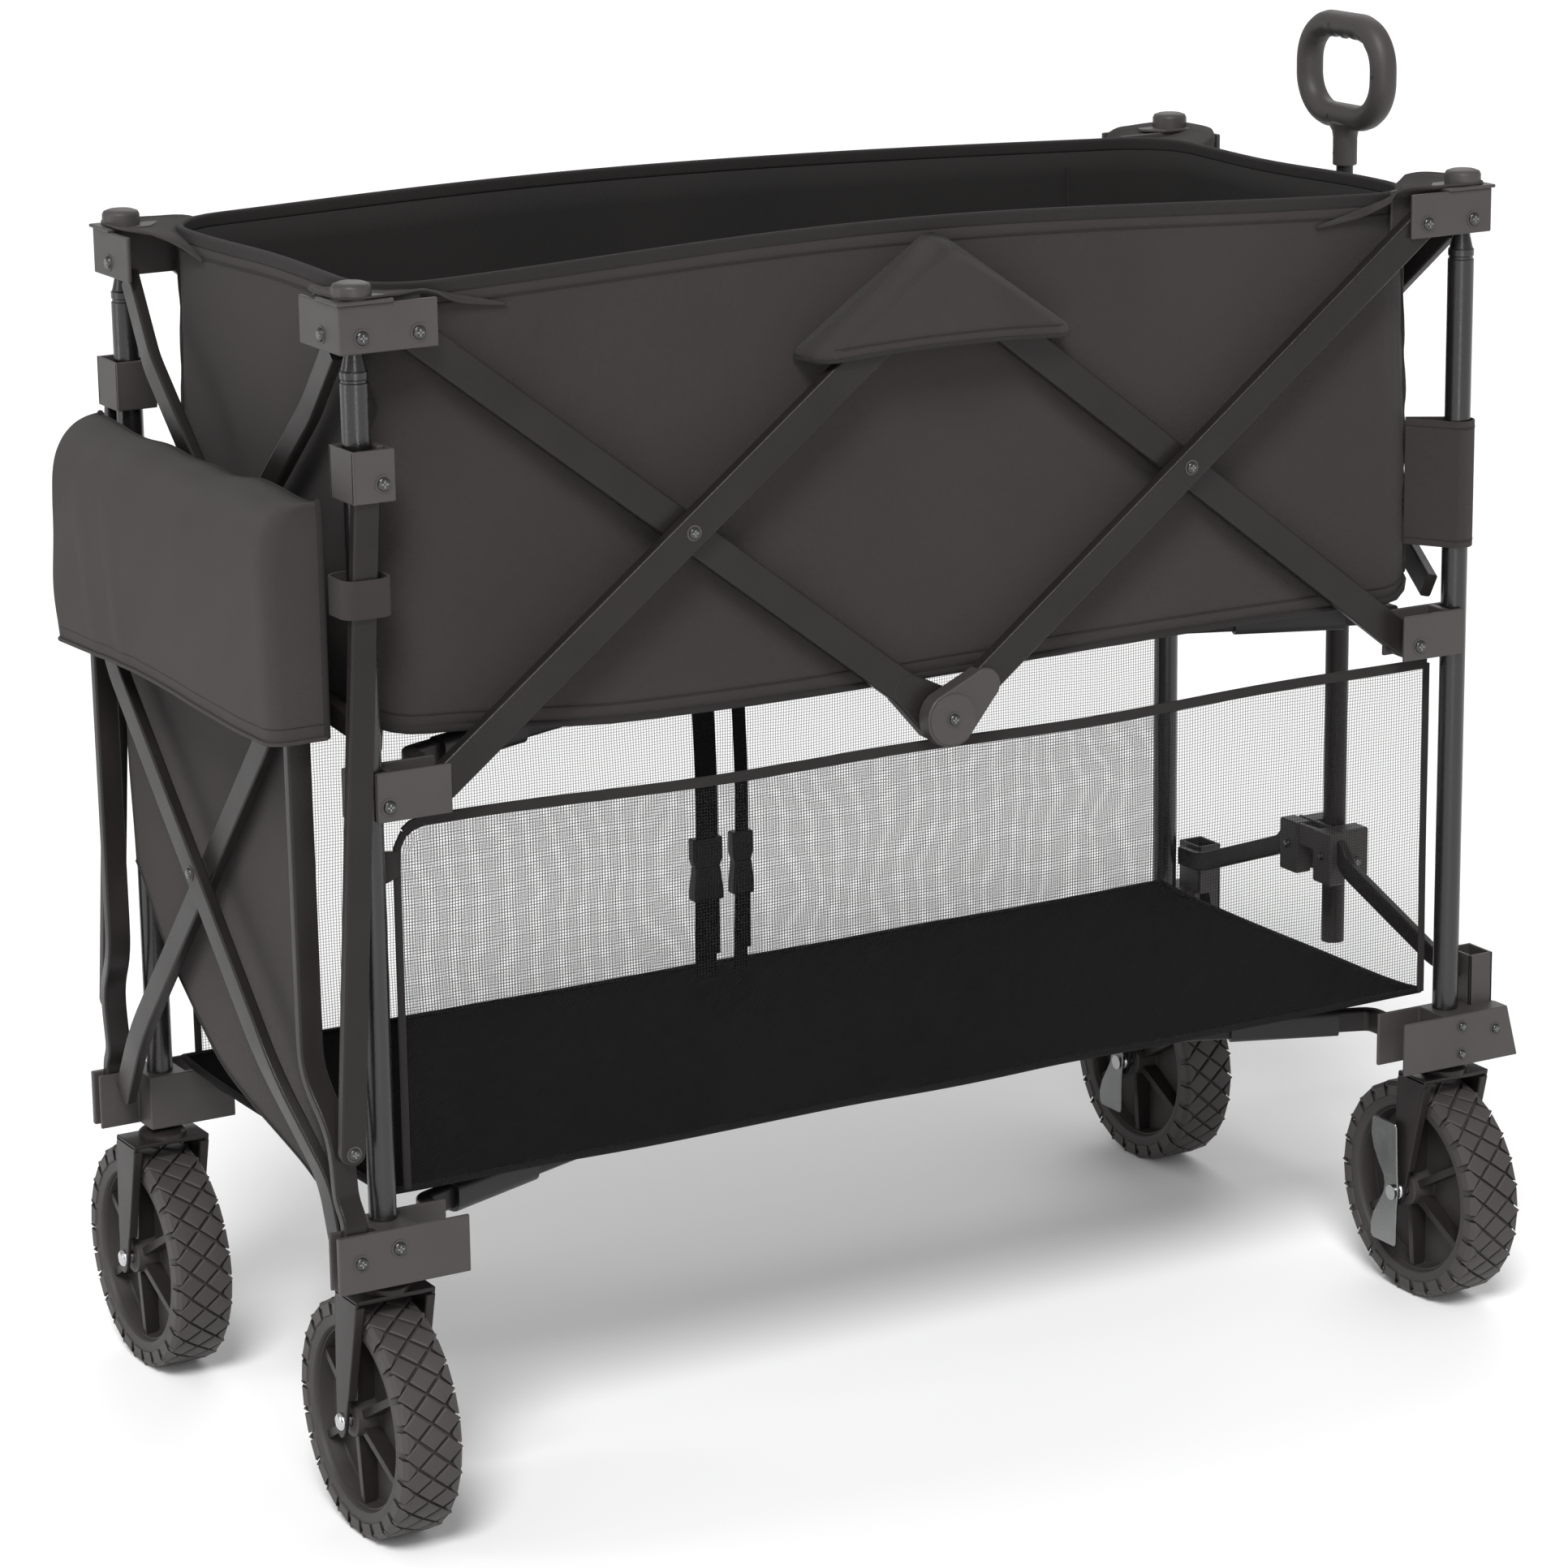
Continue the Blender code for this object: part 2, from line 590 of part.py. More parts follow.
for end in ENDS:
    for side in SIDES:
        caster(end, side)

# The origin moves under the middle of the whole object
for obj in bpy.data.objects:
    obj.location += ORIGIN_SHIFT
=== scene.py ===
"""Looks of the folding two-deck wagon: camera, light, finishes and the detailed pieces.

Shapes are made in the frame's own coordinates (origin between the four posts) and moved by
HOME into the row frame. "near" is the -Y side, "far" the +Y side, the handle is at +X.
"""
import math

import bmesh
import bpy
from mathutils import Matrix, Vector, noise


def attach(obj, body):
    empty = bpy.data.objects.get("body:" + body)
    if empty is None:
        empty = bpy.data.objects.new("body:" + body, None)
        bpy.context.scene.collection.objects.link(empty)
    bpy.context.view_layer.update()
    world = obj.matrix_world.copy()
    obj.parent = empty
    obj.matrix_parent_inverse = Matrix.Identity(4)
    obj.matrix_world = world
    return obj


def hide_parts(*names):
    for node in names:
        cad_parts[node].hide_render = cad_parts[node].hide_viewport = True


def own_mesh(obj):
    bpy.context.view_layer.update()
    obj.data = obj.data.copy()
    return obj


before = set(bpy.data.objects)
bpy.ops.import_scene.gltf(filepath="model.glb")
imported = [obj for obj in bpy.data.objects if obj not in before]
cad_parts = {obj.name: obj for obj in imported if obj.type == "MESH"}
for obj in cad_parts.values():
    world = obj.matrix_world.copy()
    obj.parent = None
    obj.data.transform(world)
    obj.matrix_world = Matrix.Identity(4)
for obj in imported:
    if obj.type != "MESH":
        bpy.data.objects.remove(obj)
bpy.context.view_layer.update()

HOME = Vector((0.009, -0.015, 0.0))

SIDES = {"near": -1, "far": 1}
ENDS = {"rear": -1, "front": 1}

# The frame's own sizes, as in the CAD
POST_X = 0.47
POST_Y = 0.20
POST_R = 0.0095
TUBE_R = 0.0101
LOW_Z = (0.2, 0.243)
MID_Z = (0.537, 0.573)
TOP_Z = (0.868, 0.902)
PIVOT_IN = 0.043
PIVOT_X = POST_X - PIVOT_IN
TOP_PIVOT_Z = 0.878
MID_PIVOT_Z = 0.548
WHEEL_R = 0.089
WHEEL_HALF = 0.0225
TRAIL = 0.015
DECK_Z = 0.252
BASKET_X = 0.448
BASKET_Y = 0.182
BASKET_LOW = 0.580
BASKET_TOP = 0.899
UV = "cloth"


# Camera, light and floor
CAMERA_LENS = 118.08
CAMERA_AT = Vector((-1.9276, -3.3650, 1.4812))
CAMERA_AZIMUTH = math.radians(-29.75)
CAMERA_TILT = math.radians(14.915)
CAMERA_ROLL = math.radians(-0.737)
SKY_STRENGTH = 0.52
KEY_SUN = ((0.40, 0.56, -0.72), 2.5, 20)  # aim, power and spread in degrees
BACK_SUN = ((-0.45, -0.66, -0.60), 0.55, 40)
STRIP_SIZE = (0.5, 2.4)
STRIP_POWER = 22
FLOOR_HALF = 40


def make_camera():
    data = bpy.data.cameras.new("camera")
    data.sensor_width = 36
    data.lens = CAMERA_LENS
    data.clip_end = 50
    back = Vector((
        math.sin(CAMERA_AZIMUTH) * math.cos(CAMERA_TILT),
        -math.cos(CAMERA_AZIMUTH) * math.cos(CAMERA_TILT),
        math.sin(CAMERA_TILT),
    ))
    right = Vector((math.cos(CAMERA_AZIMUTH), math.sin(CAMERA_AZIMUTH), 0))
    up = back.cross(right)
    turned_right = right * math.cos(CAMERA_ROLL) + up * math.sin(CAMERA_ROLL)
    turned_up = up * math.cos(CAMERA_ROLL) - right * math.sin(CAMERA_ROLL)
    rotation = Matrix((turned_right, turned_up, back)).transposed()
    obj = bpy.data.objects.new("camera", data)
    obj.matrix_world = Matrix.Translation(CAMERA_AT) @ rotation.to_4x4()
    bpy.context.scene.collection.objects.link(obj)
    bpy.context.scene.camera = obj


def strip_light(name, at):
    data = bpy.data.lights.new(name, "AREA")
    data.shape = "RECTANGLE"
    data.size = STRIP_SIZE[0]
    data.size_y = STRIP_SIZE[1]
    data.energy = STRIP_POWER
    obj = bpy.data.objects.new(name, data)
    obj.location = at
    aim = Vector((0, 0, 0.5)) - Vector(at)
    obj.rotation_euler = aim.to_track_quat("-Z", "Y").to_euler()
    bpy.context.scene.collection.objects.link(obj)


def sun(aim, power, spread):
    data = bpy.data.lights.new("sun", "SUN")
    data.energy = power
    data.angle = math.radians(spread)
    obj = bpy.data.objects.new("sun", data)
    obj.rotation_euler = Vector(aim).to_track_quat("-Z", "Y").to_euler()
    bpy.context.scene.collection.objects.link(obj)


def make_studio():
    bpy.context.scene.view_settings.view_transform = "Standard"
    world = bpy.data.worlds.new("studio")
    world.use_nodes = True
    background = world.node_tree.nodes["Background"]
    background.inputs["Color"].default_value = (1, 1, 1, 1)
    background.inputs["Strength"].default_value = SKY_STRENGTH
    bpy.context.scene.world = world
    sun(*KEY_SUN)
    sun(*BACK_SUN)
    strip_light("front_strip", (-1.2, -3.4, 1.2))
    strip_light("rear_strip", (-3.6, 0.6, 1.3))
    size = FLOOR_HALF
    bm = bmesh.new()
    corners = ((-size, -size), (size, -size), (size, size), (-size, size))
    bm.faces.new([bm.verts.new((x, y, 0)) for x, y in corners])
    mesh = bpy.data.meshes.new("floor")
    bm.to_mesh(mesh)
    bm.free()
    floor = bpy.data.objects.new("floor", mesh)
    floor.data.materials.append(floor_finish())
    bpy.context.scene.collection.objects.link(floor)


# Materials
def blank(name):
    made = bpy.data.materials.new(name)
    made.use_nodes = True
    return made, made.node_tree, made.node_tree.nodes["Principled BSDF"]


def put(tree, socket, value):
    if isinstance(value, bpy.types.NodeSocket):
        tree.links.new(value, socket)
    else:
        socket.default_value = value


def calc(tree, operation, first, second=0.0):
    node = tree.nodes.new("ShaderNodeMath")
    node.operation = operation
    put(tree, node.inputs[0], first)
    put(tree, node.inputs[1], second)
    return node.outputs[0]


def noise_of(tree, scale, detail=3.0, roughness=0.5):
    where = tree.nodes.new("ShaderNodeTexCoord")
    node = tree.nodes.new("ShaderNodeTexNoise")
    node.inputs["Scale"].default_value = scale
    node.inputs["Detail"].default_value = detail
    node.inputs["Roughness"].default_value = roughness
    tree.links.new(where.outputs["Object"], node.inputs["Vector"])
    return node.outputs["Fac"]


def blend_colours(tree, factor, dark, light):
    node = tree.nodes.new("ShaderNodeMix")
    node.data_type = "RGBA"
    put(tree, node.inputs["Factor"], factor)
    node.inputs["A"].default_value = (*dark, 1)
    node.inputs["B"].default_value = (*light, 1)
    return node.outputs["Result"]


def ranged(tree, value, low, high, to_low, to_high):
    node = tree.nodes.new("ShaderNodeMapRange")
    put(tree, node.inputs["Value"], value)
    node.inputs["From Min"].default_value = low
    node.inputs["From Max"].default_value = high
    node.inputs["To Min"].default_value = to_low
    node.inputs["To Max"].default_value = to_high
    return node.outputs["Result"]


def bumped(tree, shader, height, distance, strength):
    node = tree.nodes.new("ShaderNodeBump")
    node.inputs["Distance"].default_value = distance
    node.inputs["Strength"].default_value = strength
    put(tree, node.inputs["Height"], height)
    tree.links.new(node.outputs["Normal"], shader.inputs["Normal"])


def cloth_threads(tree, pitch):
    """(warp, weft) waves across the cloth, from the UV map that holds metres."""
    uv = tree.nodes.new("ShaderNodeUVMap")
    uv.uv_map = UV
    parts = tree.nodes.new("ShaderNodeSeparateXYZ")
    tree.links.new(uv.outputs["UV"], parts.inputs["Vector"])
    turns = 2 * math.pi / pitch
    return [calc(tree, "SINE", calc(tree, "MULTIPLY", parts.outputs[axis], turns)) for axis in ("X", "Y")]


def floor_finish():
    made, tree, shader = blank("studio_floor")
    shader.inputs["Base Color"].default_value = (0.96, 0.96, 0.96, 1)
    shader.inputs["Roughness"].default_value = 0.9
    return made


def woven(name, dark, light, pitch, depth, roughness, sheen, shine=0.2):
    """Plain weave: threads go over and under each other, with slow colour drift."""
    made, tree, shader = blank(name)
    warp, weft = cloth_threads(tree, pitch)
    over = calc(tree, "MULTIPLY", warp, weft)
    drift = noise_of(tree, 7.0, 4.0)
    fuzz = noise_of(tree, 900.0, 2.0)
    mixed = calc(tree, "ADD", calc(tree, "MULTIPLY", over, 0.22), ranged(tree, drift, 0.3, 0.7, 0.3, 0.7))
    mixed = calc(tree, "ADD", mixed, calc(tree, "MULTIPLY", calc(tree, "SUBTRACT", fuzz, 0.5), 0.5))
    put(tree, shader.inputs["Base Color"], blend_colours(tree, mixed, dark, light))
    put(tree, shader.inputs["Roughness"], ranged(tree, drift, 0.3, 0.7, roughness - 0.05, roughness + 0.05))
    shader.inputs["Specular IOR Level"].default_value = shine
    shader.inputs["Sheen Weight"].default_value = sheen
    shader.inputs["Sheen Roughness"].default_value = 0.45
    height = calc(tree, "ADD", over, calc(tree, "MULTIPLY", fuzz, 0.6))
    bumped(tree, shader, height, depth, 0.7)
    return made


def netting(name, thread, pitch, share):
    """Open net: holes between soft-edged threads let what is behind show."""
    made, tree, shader = blank(name)
    uv = tree.nodes.new("ShaderNodeUVMap")
    uv.uv_map = UV
    parts = tree.nodes.new("ShaderNodeSeparateXYZ")
    tree.links.new(uv.outputs["UV"], parts.inputs["Vector"])
    drift = noise_of(tree, 9.0, 2.0)
    sway = calc(tree, "MULTIPLY", calc(tree, "SUBTRACT", drift, 0.5), 3.0)
    held = []
    for axis, fade in (("X", 1.35), ("Y", 1.0)):
        cell = calc(tree, "ADD", calc(tree, "DIVIDE", parts.outputs[axis], pitch), sway)
        middle = calc(tree, "PINGPONG", cell, 0.5)
        held.append(ranged(tree, middle, 0.0, share * fade, 0.95, 0.0))
    solid = calc(tree, "MAXIMUM", held[0], held[1])
    put(tree, shader.inputs["Base Color"], blend_colours(tree, drift, thread, [c * 1.5 for c in thread]))
    shader.inputs["Roughness"].default_value = 0.8
    shader.inputs["Specular IOR Level"].default_value = 0.15
    put(tree, shader.inputs["Alpha"], calc(tree, "ADD", calc(tree, "MULTIPLY", solid, 0.9), 0.03))
    return made


def coated(name, dark, light, roughness, grain, shine):
    """Powder coat, moulded plastic or rubber: fine skin, slow drift and paler convex edges, which are a painted
    edge highlight.
    """
    made, tree, shader = blank(name)
    drift = noise_of(tree, 14.0, 4.0)
    skin = noise_of(tree, grain, 2.0)
    # Paler colour where pointiness is high: a painted highlight along the convex edges.
    shape = tree.nodes.new("ShaderNodeNewGeometry")
    edge = ranged(tree, shape.outputs["Pointiness"], 0.52, 0.62, 0.0, 0.5)
    mixed = calc(tree, "ADD", ranged(tree, drift, 0.3, 0.7, 0.2, 0.6), edge)
    mixed = calc(tree, "ADD", mixed, calc(tree, "MULTIPLY", calc(tree, "SUBTRACT", skin, 0.5), 0.35))
    put(tree, shader.inputs["Base Color"], blend_colours(tree, mixed, dark, light))
    put(tree, shader.inputs["Roughness"], ranged(tree, drift, 0.3, 0.7, roughness - 0.05, roughness + 0.07))
    shader.inputs["Specular IOR Level"].default_value = shine
    bumped(tree, shader, skin, 0.0004, 0.35)
    return made


def polished(name, colour, roughness):
    """Bare steel with fine brushing."""
    made, tree, shader = blank(name)
    drift = noise_of(tree, 60.0, 5.0)
    skin = noise_of(tree, 1500.0, 2.0)
    put(tree, shader.inputs["Base Color"], blend_colours(tree, drift, [c * 0.75 for c in colour], colour))
    put(tree, shader.inputs["Roughness"], ranged(tree, drift, 0.3, 0.7, roughness - 0.06, roughness + 0.12))
    shader.inputs["Metallic"].default_value = 1.0
    bumped(tree, shader, skin, 0.0002, 0.2)
    return made


# Cloths
FABRIC = woven("basket_cloth", (0.0275, 0.0238, 0.0229), (0.0455, 0.0394, 0.0380), 0.0011, 0.0004, 0.82, 0.06)
# Darker copy of the basket cloth for the inside of the basket and its floor: painted shade of the interior.
SHADED_LINING = woven("lining_cloth_painted_shade", (0.015, 0.014, 0.014), (0.027, 0.025, 0.024), 0.0011, 0.0004, 0.85, 0.02)
# Lighter copy of the basket cloth for the rear-facing gate hood and panel: painted light, since the lamps light
# those faces less.
LIT_GATE_CLOTH = woven("gate_cloth_lit", (0.0335, 0.0290, 0.0280), (0.0545, 0.0474, 0.0458), 0.0011, 0.0004, 0.8, 0.06)
BINDING = woven("binding_tape", (0.012, 0.0107, 0.0104), (0.027, 0.0242, 0.0236), 0.0016, 0.0004, 0.75, 0.04)
DECK_DARK = (0.0006, 0.0006, 0.0006)
DECK_LIGHT = (0.0062, 0.0056, 0.0056)
DECK_CLOTH = woven("deck_cloth", DECK_DARK, DECK_LIGHT, 0.0034, 0.0003, 0.9, 0.0, 0.03)
WEBBING = woven("webbing", (0.003, 0.003, 0.003), (0.012, 0.0115, 0.0115), 0.0026, 0.0008, 0.75, 0.0, 0.15)
NET = netting("net_cloth", (0.011, 0.0105, 0.0105), 0.0024, 0.19)
# Hard finishes: dark and light colour, roughness, grain scale and gloss
STEEL = coated("powder_coat", (0.0105, 0.0091, 0.0088), (0.0225, 0.0194, 0.0187), 0.31, 900.0, 0.2)
# Darker, glossier copy of the powder coat for the round posts: the darker colour is painted shade, so the posts
# read near-black beside the flat bars.
SHADED_POST_STEEL = coated("post_powder_coat_shaded", (0.0045, 0.0040, 0.0039), (0.0125, 0.0111, 0.0109), 0.24, 900.0, 0.6)
PLASTIC = coated("moulded_plastic", (0.037, 0.0335, 0.0325), (0.059, 0.0535, 0.052), 0.46, 1300.0, 0.3)
DARK_PLASTIC = coated("dark_plastic", (0.004, 0.004, 0.004), (0.012, 0.0115, 0.0115), 0.42, 1100.0, 0.35)
TYRE = coated("tyre_rubber", (0.027, 0.0245, 0.024), (0.052, 0.047, 0.0455), 0.55, 700.0, 0.3)
WHEEL_PLASTIC = coated("wheel_plastic", (0.028, 0.025, 0.024), (0.046, 0.042, 0.040), 0.5, 1100.0, 0.3)
SCREW = coated("black_screw", (0.003, 0.003, 0.003), (0.010, 0.0095, 0.0095), 0.22, 1500.0, 0.8)
BRIGHT = polished("bright_steel", (0.60, 0.60, 0.61), 0.2)
LEVER_STEEL = polished("lever_steel", (0.27, 0.275, 0.275), 0.22)


# Mesh tools. Each returns a bmesh that holds one closed part or one open sheet.
def closed(bm):
    bmesh.ops.recalc_face_normals(bm, faces=bm.faces)
    return bm


def rounded_edges(bm, width, segments=2, angle=32):
    """Bevels every edge that turns by more than angle."""
    limit = math.radians(angle)
    sharp = [e for e in bm.edges if len(e.link_faces) == 2 and e.calc_face_angle(0) > limit]
    style = {"profile": 0.5, "affect": "EDGES", "clamp_overlap": True}
    bmesh.ops.bevel(bm, geom=sharp, offset=width, segments=segments, **style)
    return bm


def prism(outline, low, high, normal="Y"):
    """Extrusion of a 2D outline, along Y from (x, z), X from (y, z) or Z from (x, y)."""
    order = {"Y": (0, 2, 1), "X": (2, 0, 1), "Z": (0, 1, 2)}[normal]
    bm = bmesh.new()
    rings = []
    for height in (low, high):
        ring = []
        for pair in outline:
            flat = (pair[0], pair[1], height)
            ring.append(bm.verts.new([flat[i] for i in order]))
        rings.append(ring)
    count = len(outline)
    for i in range(count):
        j = (i + 1) % count
        bm.faces.new((rings[0][i], rings[0][j], rings[1][j], rings[1][i]))
    bm.faces.new(rings[0])
    bm.faces.new(rings[1])
    return closed(bm)


def box(low, high):
    corners = [(low[0], low[1]), (high[0], low[1]), (high[0], high[1]), (low[0], high[1])]
    return prism(corners, low[2], high[2], "Z")


def loft(rings, caps=True, loop=False):
    """Quads between rings of equal count, each ring closed. UVs are metres round and along."""
    bm = bmesh.new()
    layer = bm.loops.layers.uv.new(UV)
    rows = [[bm.verts.new(p) for p in ring] for ring in rings]
    count = len(rings[0])
    around = [0.0]
    for k in range(count):
        around.append(around[-1] + (rings[0][(k + 1) % count] - rings[0][k]).length)
    pairs = list(zip(range(len(rows)), range(1, len(rows))))
    if loop:
        pairs.append((len(rows) - 1, 0))
    along = 0.0
    for first, second in pairs:
        step = (rings[second][0] - rings[first][0]).length
        for k in range(count):
            j = (k + 1) % count
            face = bm.faces.new((rows[first][k], rows[first][j], rows[second][j], rows[second][k]))
            left, right = around[k], around[k + 1]
            places = ((left, along), (right, along), (right, along + step), (left, along + step))
            for corner, place in zip(face.loops, places):
                corner[layer].uv = place
        along += step
    if caps and not loop:
        bm.faces.new(rows[0])
        bm.faces.new(rows[-1])
    return closed(bm)


def turned(profile, segments=40, axis="Z", centre=(0, 0, 0), ring=False):
    """Solid of revolution from (radius, height) pairs. ring closes the profile on itself."""
    turns = [2 * math.pi * k / segments for k in range(segments)]
    rings = [[Vector((r * math.cos(t), r * math.sin(t), h)) for t in turns] for r, h in profile]
    bm = loft(rings, caps=not ring, loop=ring)
    if axis == "X":
        bmesh.ops.rotate(bm, matrix=Matrix.Rotation(math.pi / 2, 3, "Y"), verts=bm.verts)
    if axis == "Y":
        bmesh.ops.rotate(bm, matrix=Matrix.Rotation(-math.pi / 2, 3, "X"), verts=bm.verts)
    bmesh.ops.translate(bm, vec=Vector(centre), verts=bm.verts)
    return closed(bm)


def oval(width, depth, corner, steps=3):
    """Rounded rectangle as (across, up) pairs."""
    points = []
    half_w = width / 2 - corner
    half_d = depth / 2 - corner
    for sx, sy, start in ((1, 1, 0), (-1, 1, 90), (-1, -1, 180), (1, -1, 270)):
        for k in range(steps + 1):
            t = math.radians(start + 90 * k / steps)
            points.append((sx * half_w + corner * math.cos(t), sy * half_d + corner * math.sin(t)))
    return points


def circle(radius, count=12):
    turns = [2 * math.pi * k / count for k in range(count)]
    return [(radius * math.cos(t), radius * math.sin(t)) for t in turns]


def mirrored(part, axis):
    """The part turned over along X (0) or Y (1), with its faces still outwards."""
    scale = [1, 1, 1]
    scale[axis] = -1
    bmesh.ops.scale(part, vec=scale, verts=part.verts)
    bmesh.ops.reverse_faces(part, faces=part.faces)


def eased(points, radius, steps=4):
    """The path with each corner replaced by a curve that starts radius away from it."""
    path = [Vector(p) for p in points]
    made = [path[0]]
    for before, corner, after in zip(path, path[1:], path[2:]):
        back = before - corner
        on = after - corner
        reach = min(radius, back.length * 0.45, on.length * 0.45)
        start = corner + back.normalized() * reach
        end = corner + on.normalized() * reach
        for k in range(steps + 1):
            t = k / steps
            made.append(start * (1 - t) ** 2 + corner * 2 * t * (1 - t) + end * t * t)
    made.append(path[-1])
    return made


def sweep(path, section, across, loop=False):
    """Section of (across, other) pairs carried along a path of points."""
    points = [Vector(p) for p in path]
    hint = Vector(across)
    count = len(points)
    rings = []
    for i, here in enumerate(points):
        before = points[i - 1] if i or loop else here
        after = points[(i + 1) % count] if i + 1 < count or loop else here
        along = (after - before).normalized()
        side = (hint - along * hint.dot(along)).normalized()
        other = along.cross(side)
        rings.append([here + side * a + other * b for a, b in section])
    return loft(rings, loop=loop)


def grid(columns, rows, point, size):
    """Open sheet. point(u, v) gives the place for u and v from 0 to 1, size is the cloth's metres."""
    bm = bmesh.new()
    layer = bm.loops.layers.uv.new(UV)
    lattice = []
    for r in range(rows + 1):
        lattice.append([bm.verts.new(point(c / columns, r / rows)) for c in range(columns + 1)])
    for r in range(rows):
        for c in range(columns):
            corners = ((c, r), (c + 1, r), (c + 1, r + 1), (c, r + 1))
            face = bm.faces.new([lattice[j][i] for i, j in corners])
            for corner, (i, j) in zip(face.loops, corners):
                corner[layer].uv = (i / columns * size[0], j / rows * size[1])
    return bm


def hoop(around, up, point, size, inward=False):
    """Open tube of cloth. point(u, v) gives the place, u going once round and v up."""
    bm = bmesh.new()
    layer = bm.loops.layers.uv.new(UV)
    rows = [[bm.verts.new(point(c / around, r / up)) for c in range(around)] for r in range(up + 1)]
    for r in range(up):
        for c in range(around):
            corners = ((c, r), (c + 1, r), (c + 1, r + 1), (c, r + 1))
            if inward:
                corners = corners[::-1]
            face = bm.faces.new([rows[j][i % around] for i, j in corners])
            for corner, (i, j) in zip(face.loops, corners):
                corner[layer].uv = (i / around * size[0], j / up * size[1])
    return bm


def stadium(start, end, start_r, end_r, steps=8):
    """Outline of a flat bar with round ends, in its own plane."""
    turn = math.atan2(end[1] - start[1], end[0] - start[0])
    outline = []
    for k in range(steps + 1):
        t = turn + math.pi / 2 + math.pi * k / steps
        outline.append((start[0] + start_r * math.cos(t), start[1] + start_r * math.sin(t)))
    for k in range(steps + 1):
        t = turn - math.pi / 2 + math.pi * k / steps
        outline.append((end[0] + end_r * math.cos(t), end[1] + end_r * math.sin(t)))
    return outline


def plan(points, end, side):
    """Plan outline from (u, v): u inwards from the post, v outwards across the wagon."""
    return [(end * (POST_X - u), side * (POST_Y + v)) for u, v in points]


class Shape:
    """Collects the parts of one piece, each with its own finish."""

    def __init__(self):
        self.bm = bmesh.new()
        self.finishes = []

    def add(self, part, finish, edge=0.0, segments=2):
        if edge:
            rounded_edges(part, edge, segments)
        if finish not in self.finishes:
            self.finishes.append(finish)
        index = self.finishes.index(finish)
        for face in part.faces:
            face.material_index = index
            face.smooth = True
        mesh = bpy.data.meshes.new("part")
        part.to_mesh(mesh)
        part.free()
        self.bm.from_mesh(mesh)
        bpy.data.meshes.remove(mesh)
        return self

    def done(self, name, body, slot, stands_for=(), angle=50, thickness=0.0, squashes=False):
        mesh = bpy.data.meshes.new(name)
        bmesh.ops.translate(self.bm, vec=HOME, verts=self.bm.verts)
        self.bm.to_mesh(mesh)
        self.bm.free()
        mesh.set_sharp_from_angle(angle=math.radians(angle))
        obj = bpy.data.objects.new(name, mesh)
        for finish in self.finishes:
            mesh.materials.append(finish)
        bpy.context.scene.collection.objects.link(obj)
        if thickness:
            wall = obj.modifiers.new("thickness", "SOLIDIFY")
            wall.thickness = thickness
            wall.offset = 0
        else:
            normals = obj.modifiers.new("normals", "WEIGHTED_NORMAL")
            normals.keep_sharp = True
        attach(obj, body)
        if stands_for:
            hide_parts(*stands_for)
        if squashes:
            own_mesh(obj)
        return obj


def screw(shape, at, normal, radius=0.0049, height=0.0025):
    """Pan head with a light cross, on a washer. normal is a signed axis such as (0, -1, 0)."""
    out = Vector(normal)
    turn = Vector((0, 0, 1)).rotation_difference(out).to_matrix()
    head = [(radius, 0), (radius, height * 0.45), (radius * 0.85, height * 0.85), (radius * 0.5, height)]
    washer = [(radius * 1.35, -0.0002), (radius * 1.35, 0.0005)]
    parts = [(turned(washer, 20), PLASTIC), (turned(head, 20), SCREW)]
    arm = radius * 0.55
    slot = radius * 0.11
    for length, breadth in ((arm, slot), (slot, arm)):
        blade = box((-length, -breadth, height * 0.8), (length, breadth, height + 0.00015))
        parts.append((blade, LEVER_STEEL))
    for part, look in parts:
        bmesh.ops.rotate(part, matrix=turn, verts=part.verts)
        bmesh.ops.translate(part, vec=Vector(at), verts=part.verts)
        shape.add(part, look)


make_camera()
make_studio()


# Posts and brackets. Outlines are (inwards from the post, outwards across the wagon).
REAR_FACE = 0.0265
FRONT_FACE = 0.0232
TOWER_TOP = 0.284
TOWER = ((-0.042, -0.024), (-0.0197, 0.006))
TOWER_WALL = 0.0023
FIN_LEAN = 0.011


def post(end, side):
    x = ENDS[end] * POST_X
    y = SIDES[side] * POST_Y
    low = LOW_Z[1] + 0.0004
    high = TOP_Z[0] - 0.0004
    profile = [
        (TUBE_R, low), (TUBE_R, 0.8462), (0.0093, 0.8470), (0.0093, 0.8486), (0.0100, 0.8494),
        (0.0100, 0.8540), (0.0090, 0.8552), (0.0068, 0.8650), (0.0066, high),
    ]
    # The posts take the darker copy of the powder coat: painted shade.
    shape = Shape().add(turned(profile, 48, "Z", (x, y, 0)), SHADED_POST_STEEL)
    shape.done(f"{end}_post_{side}_tube", f"{end}_frame", "frame_steel", [f"{end}_post_{side}"], angle=24)


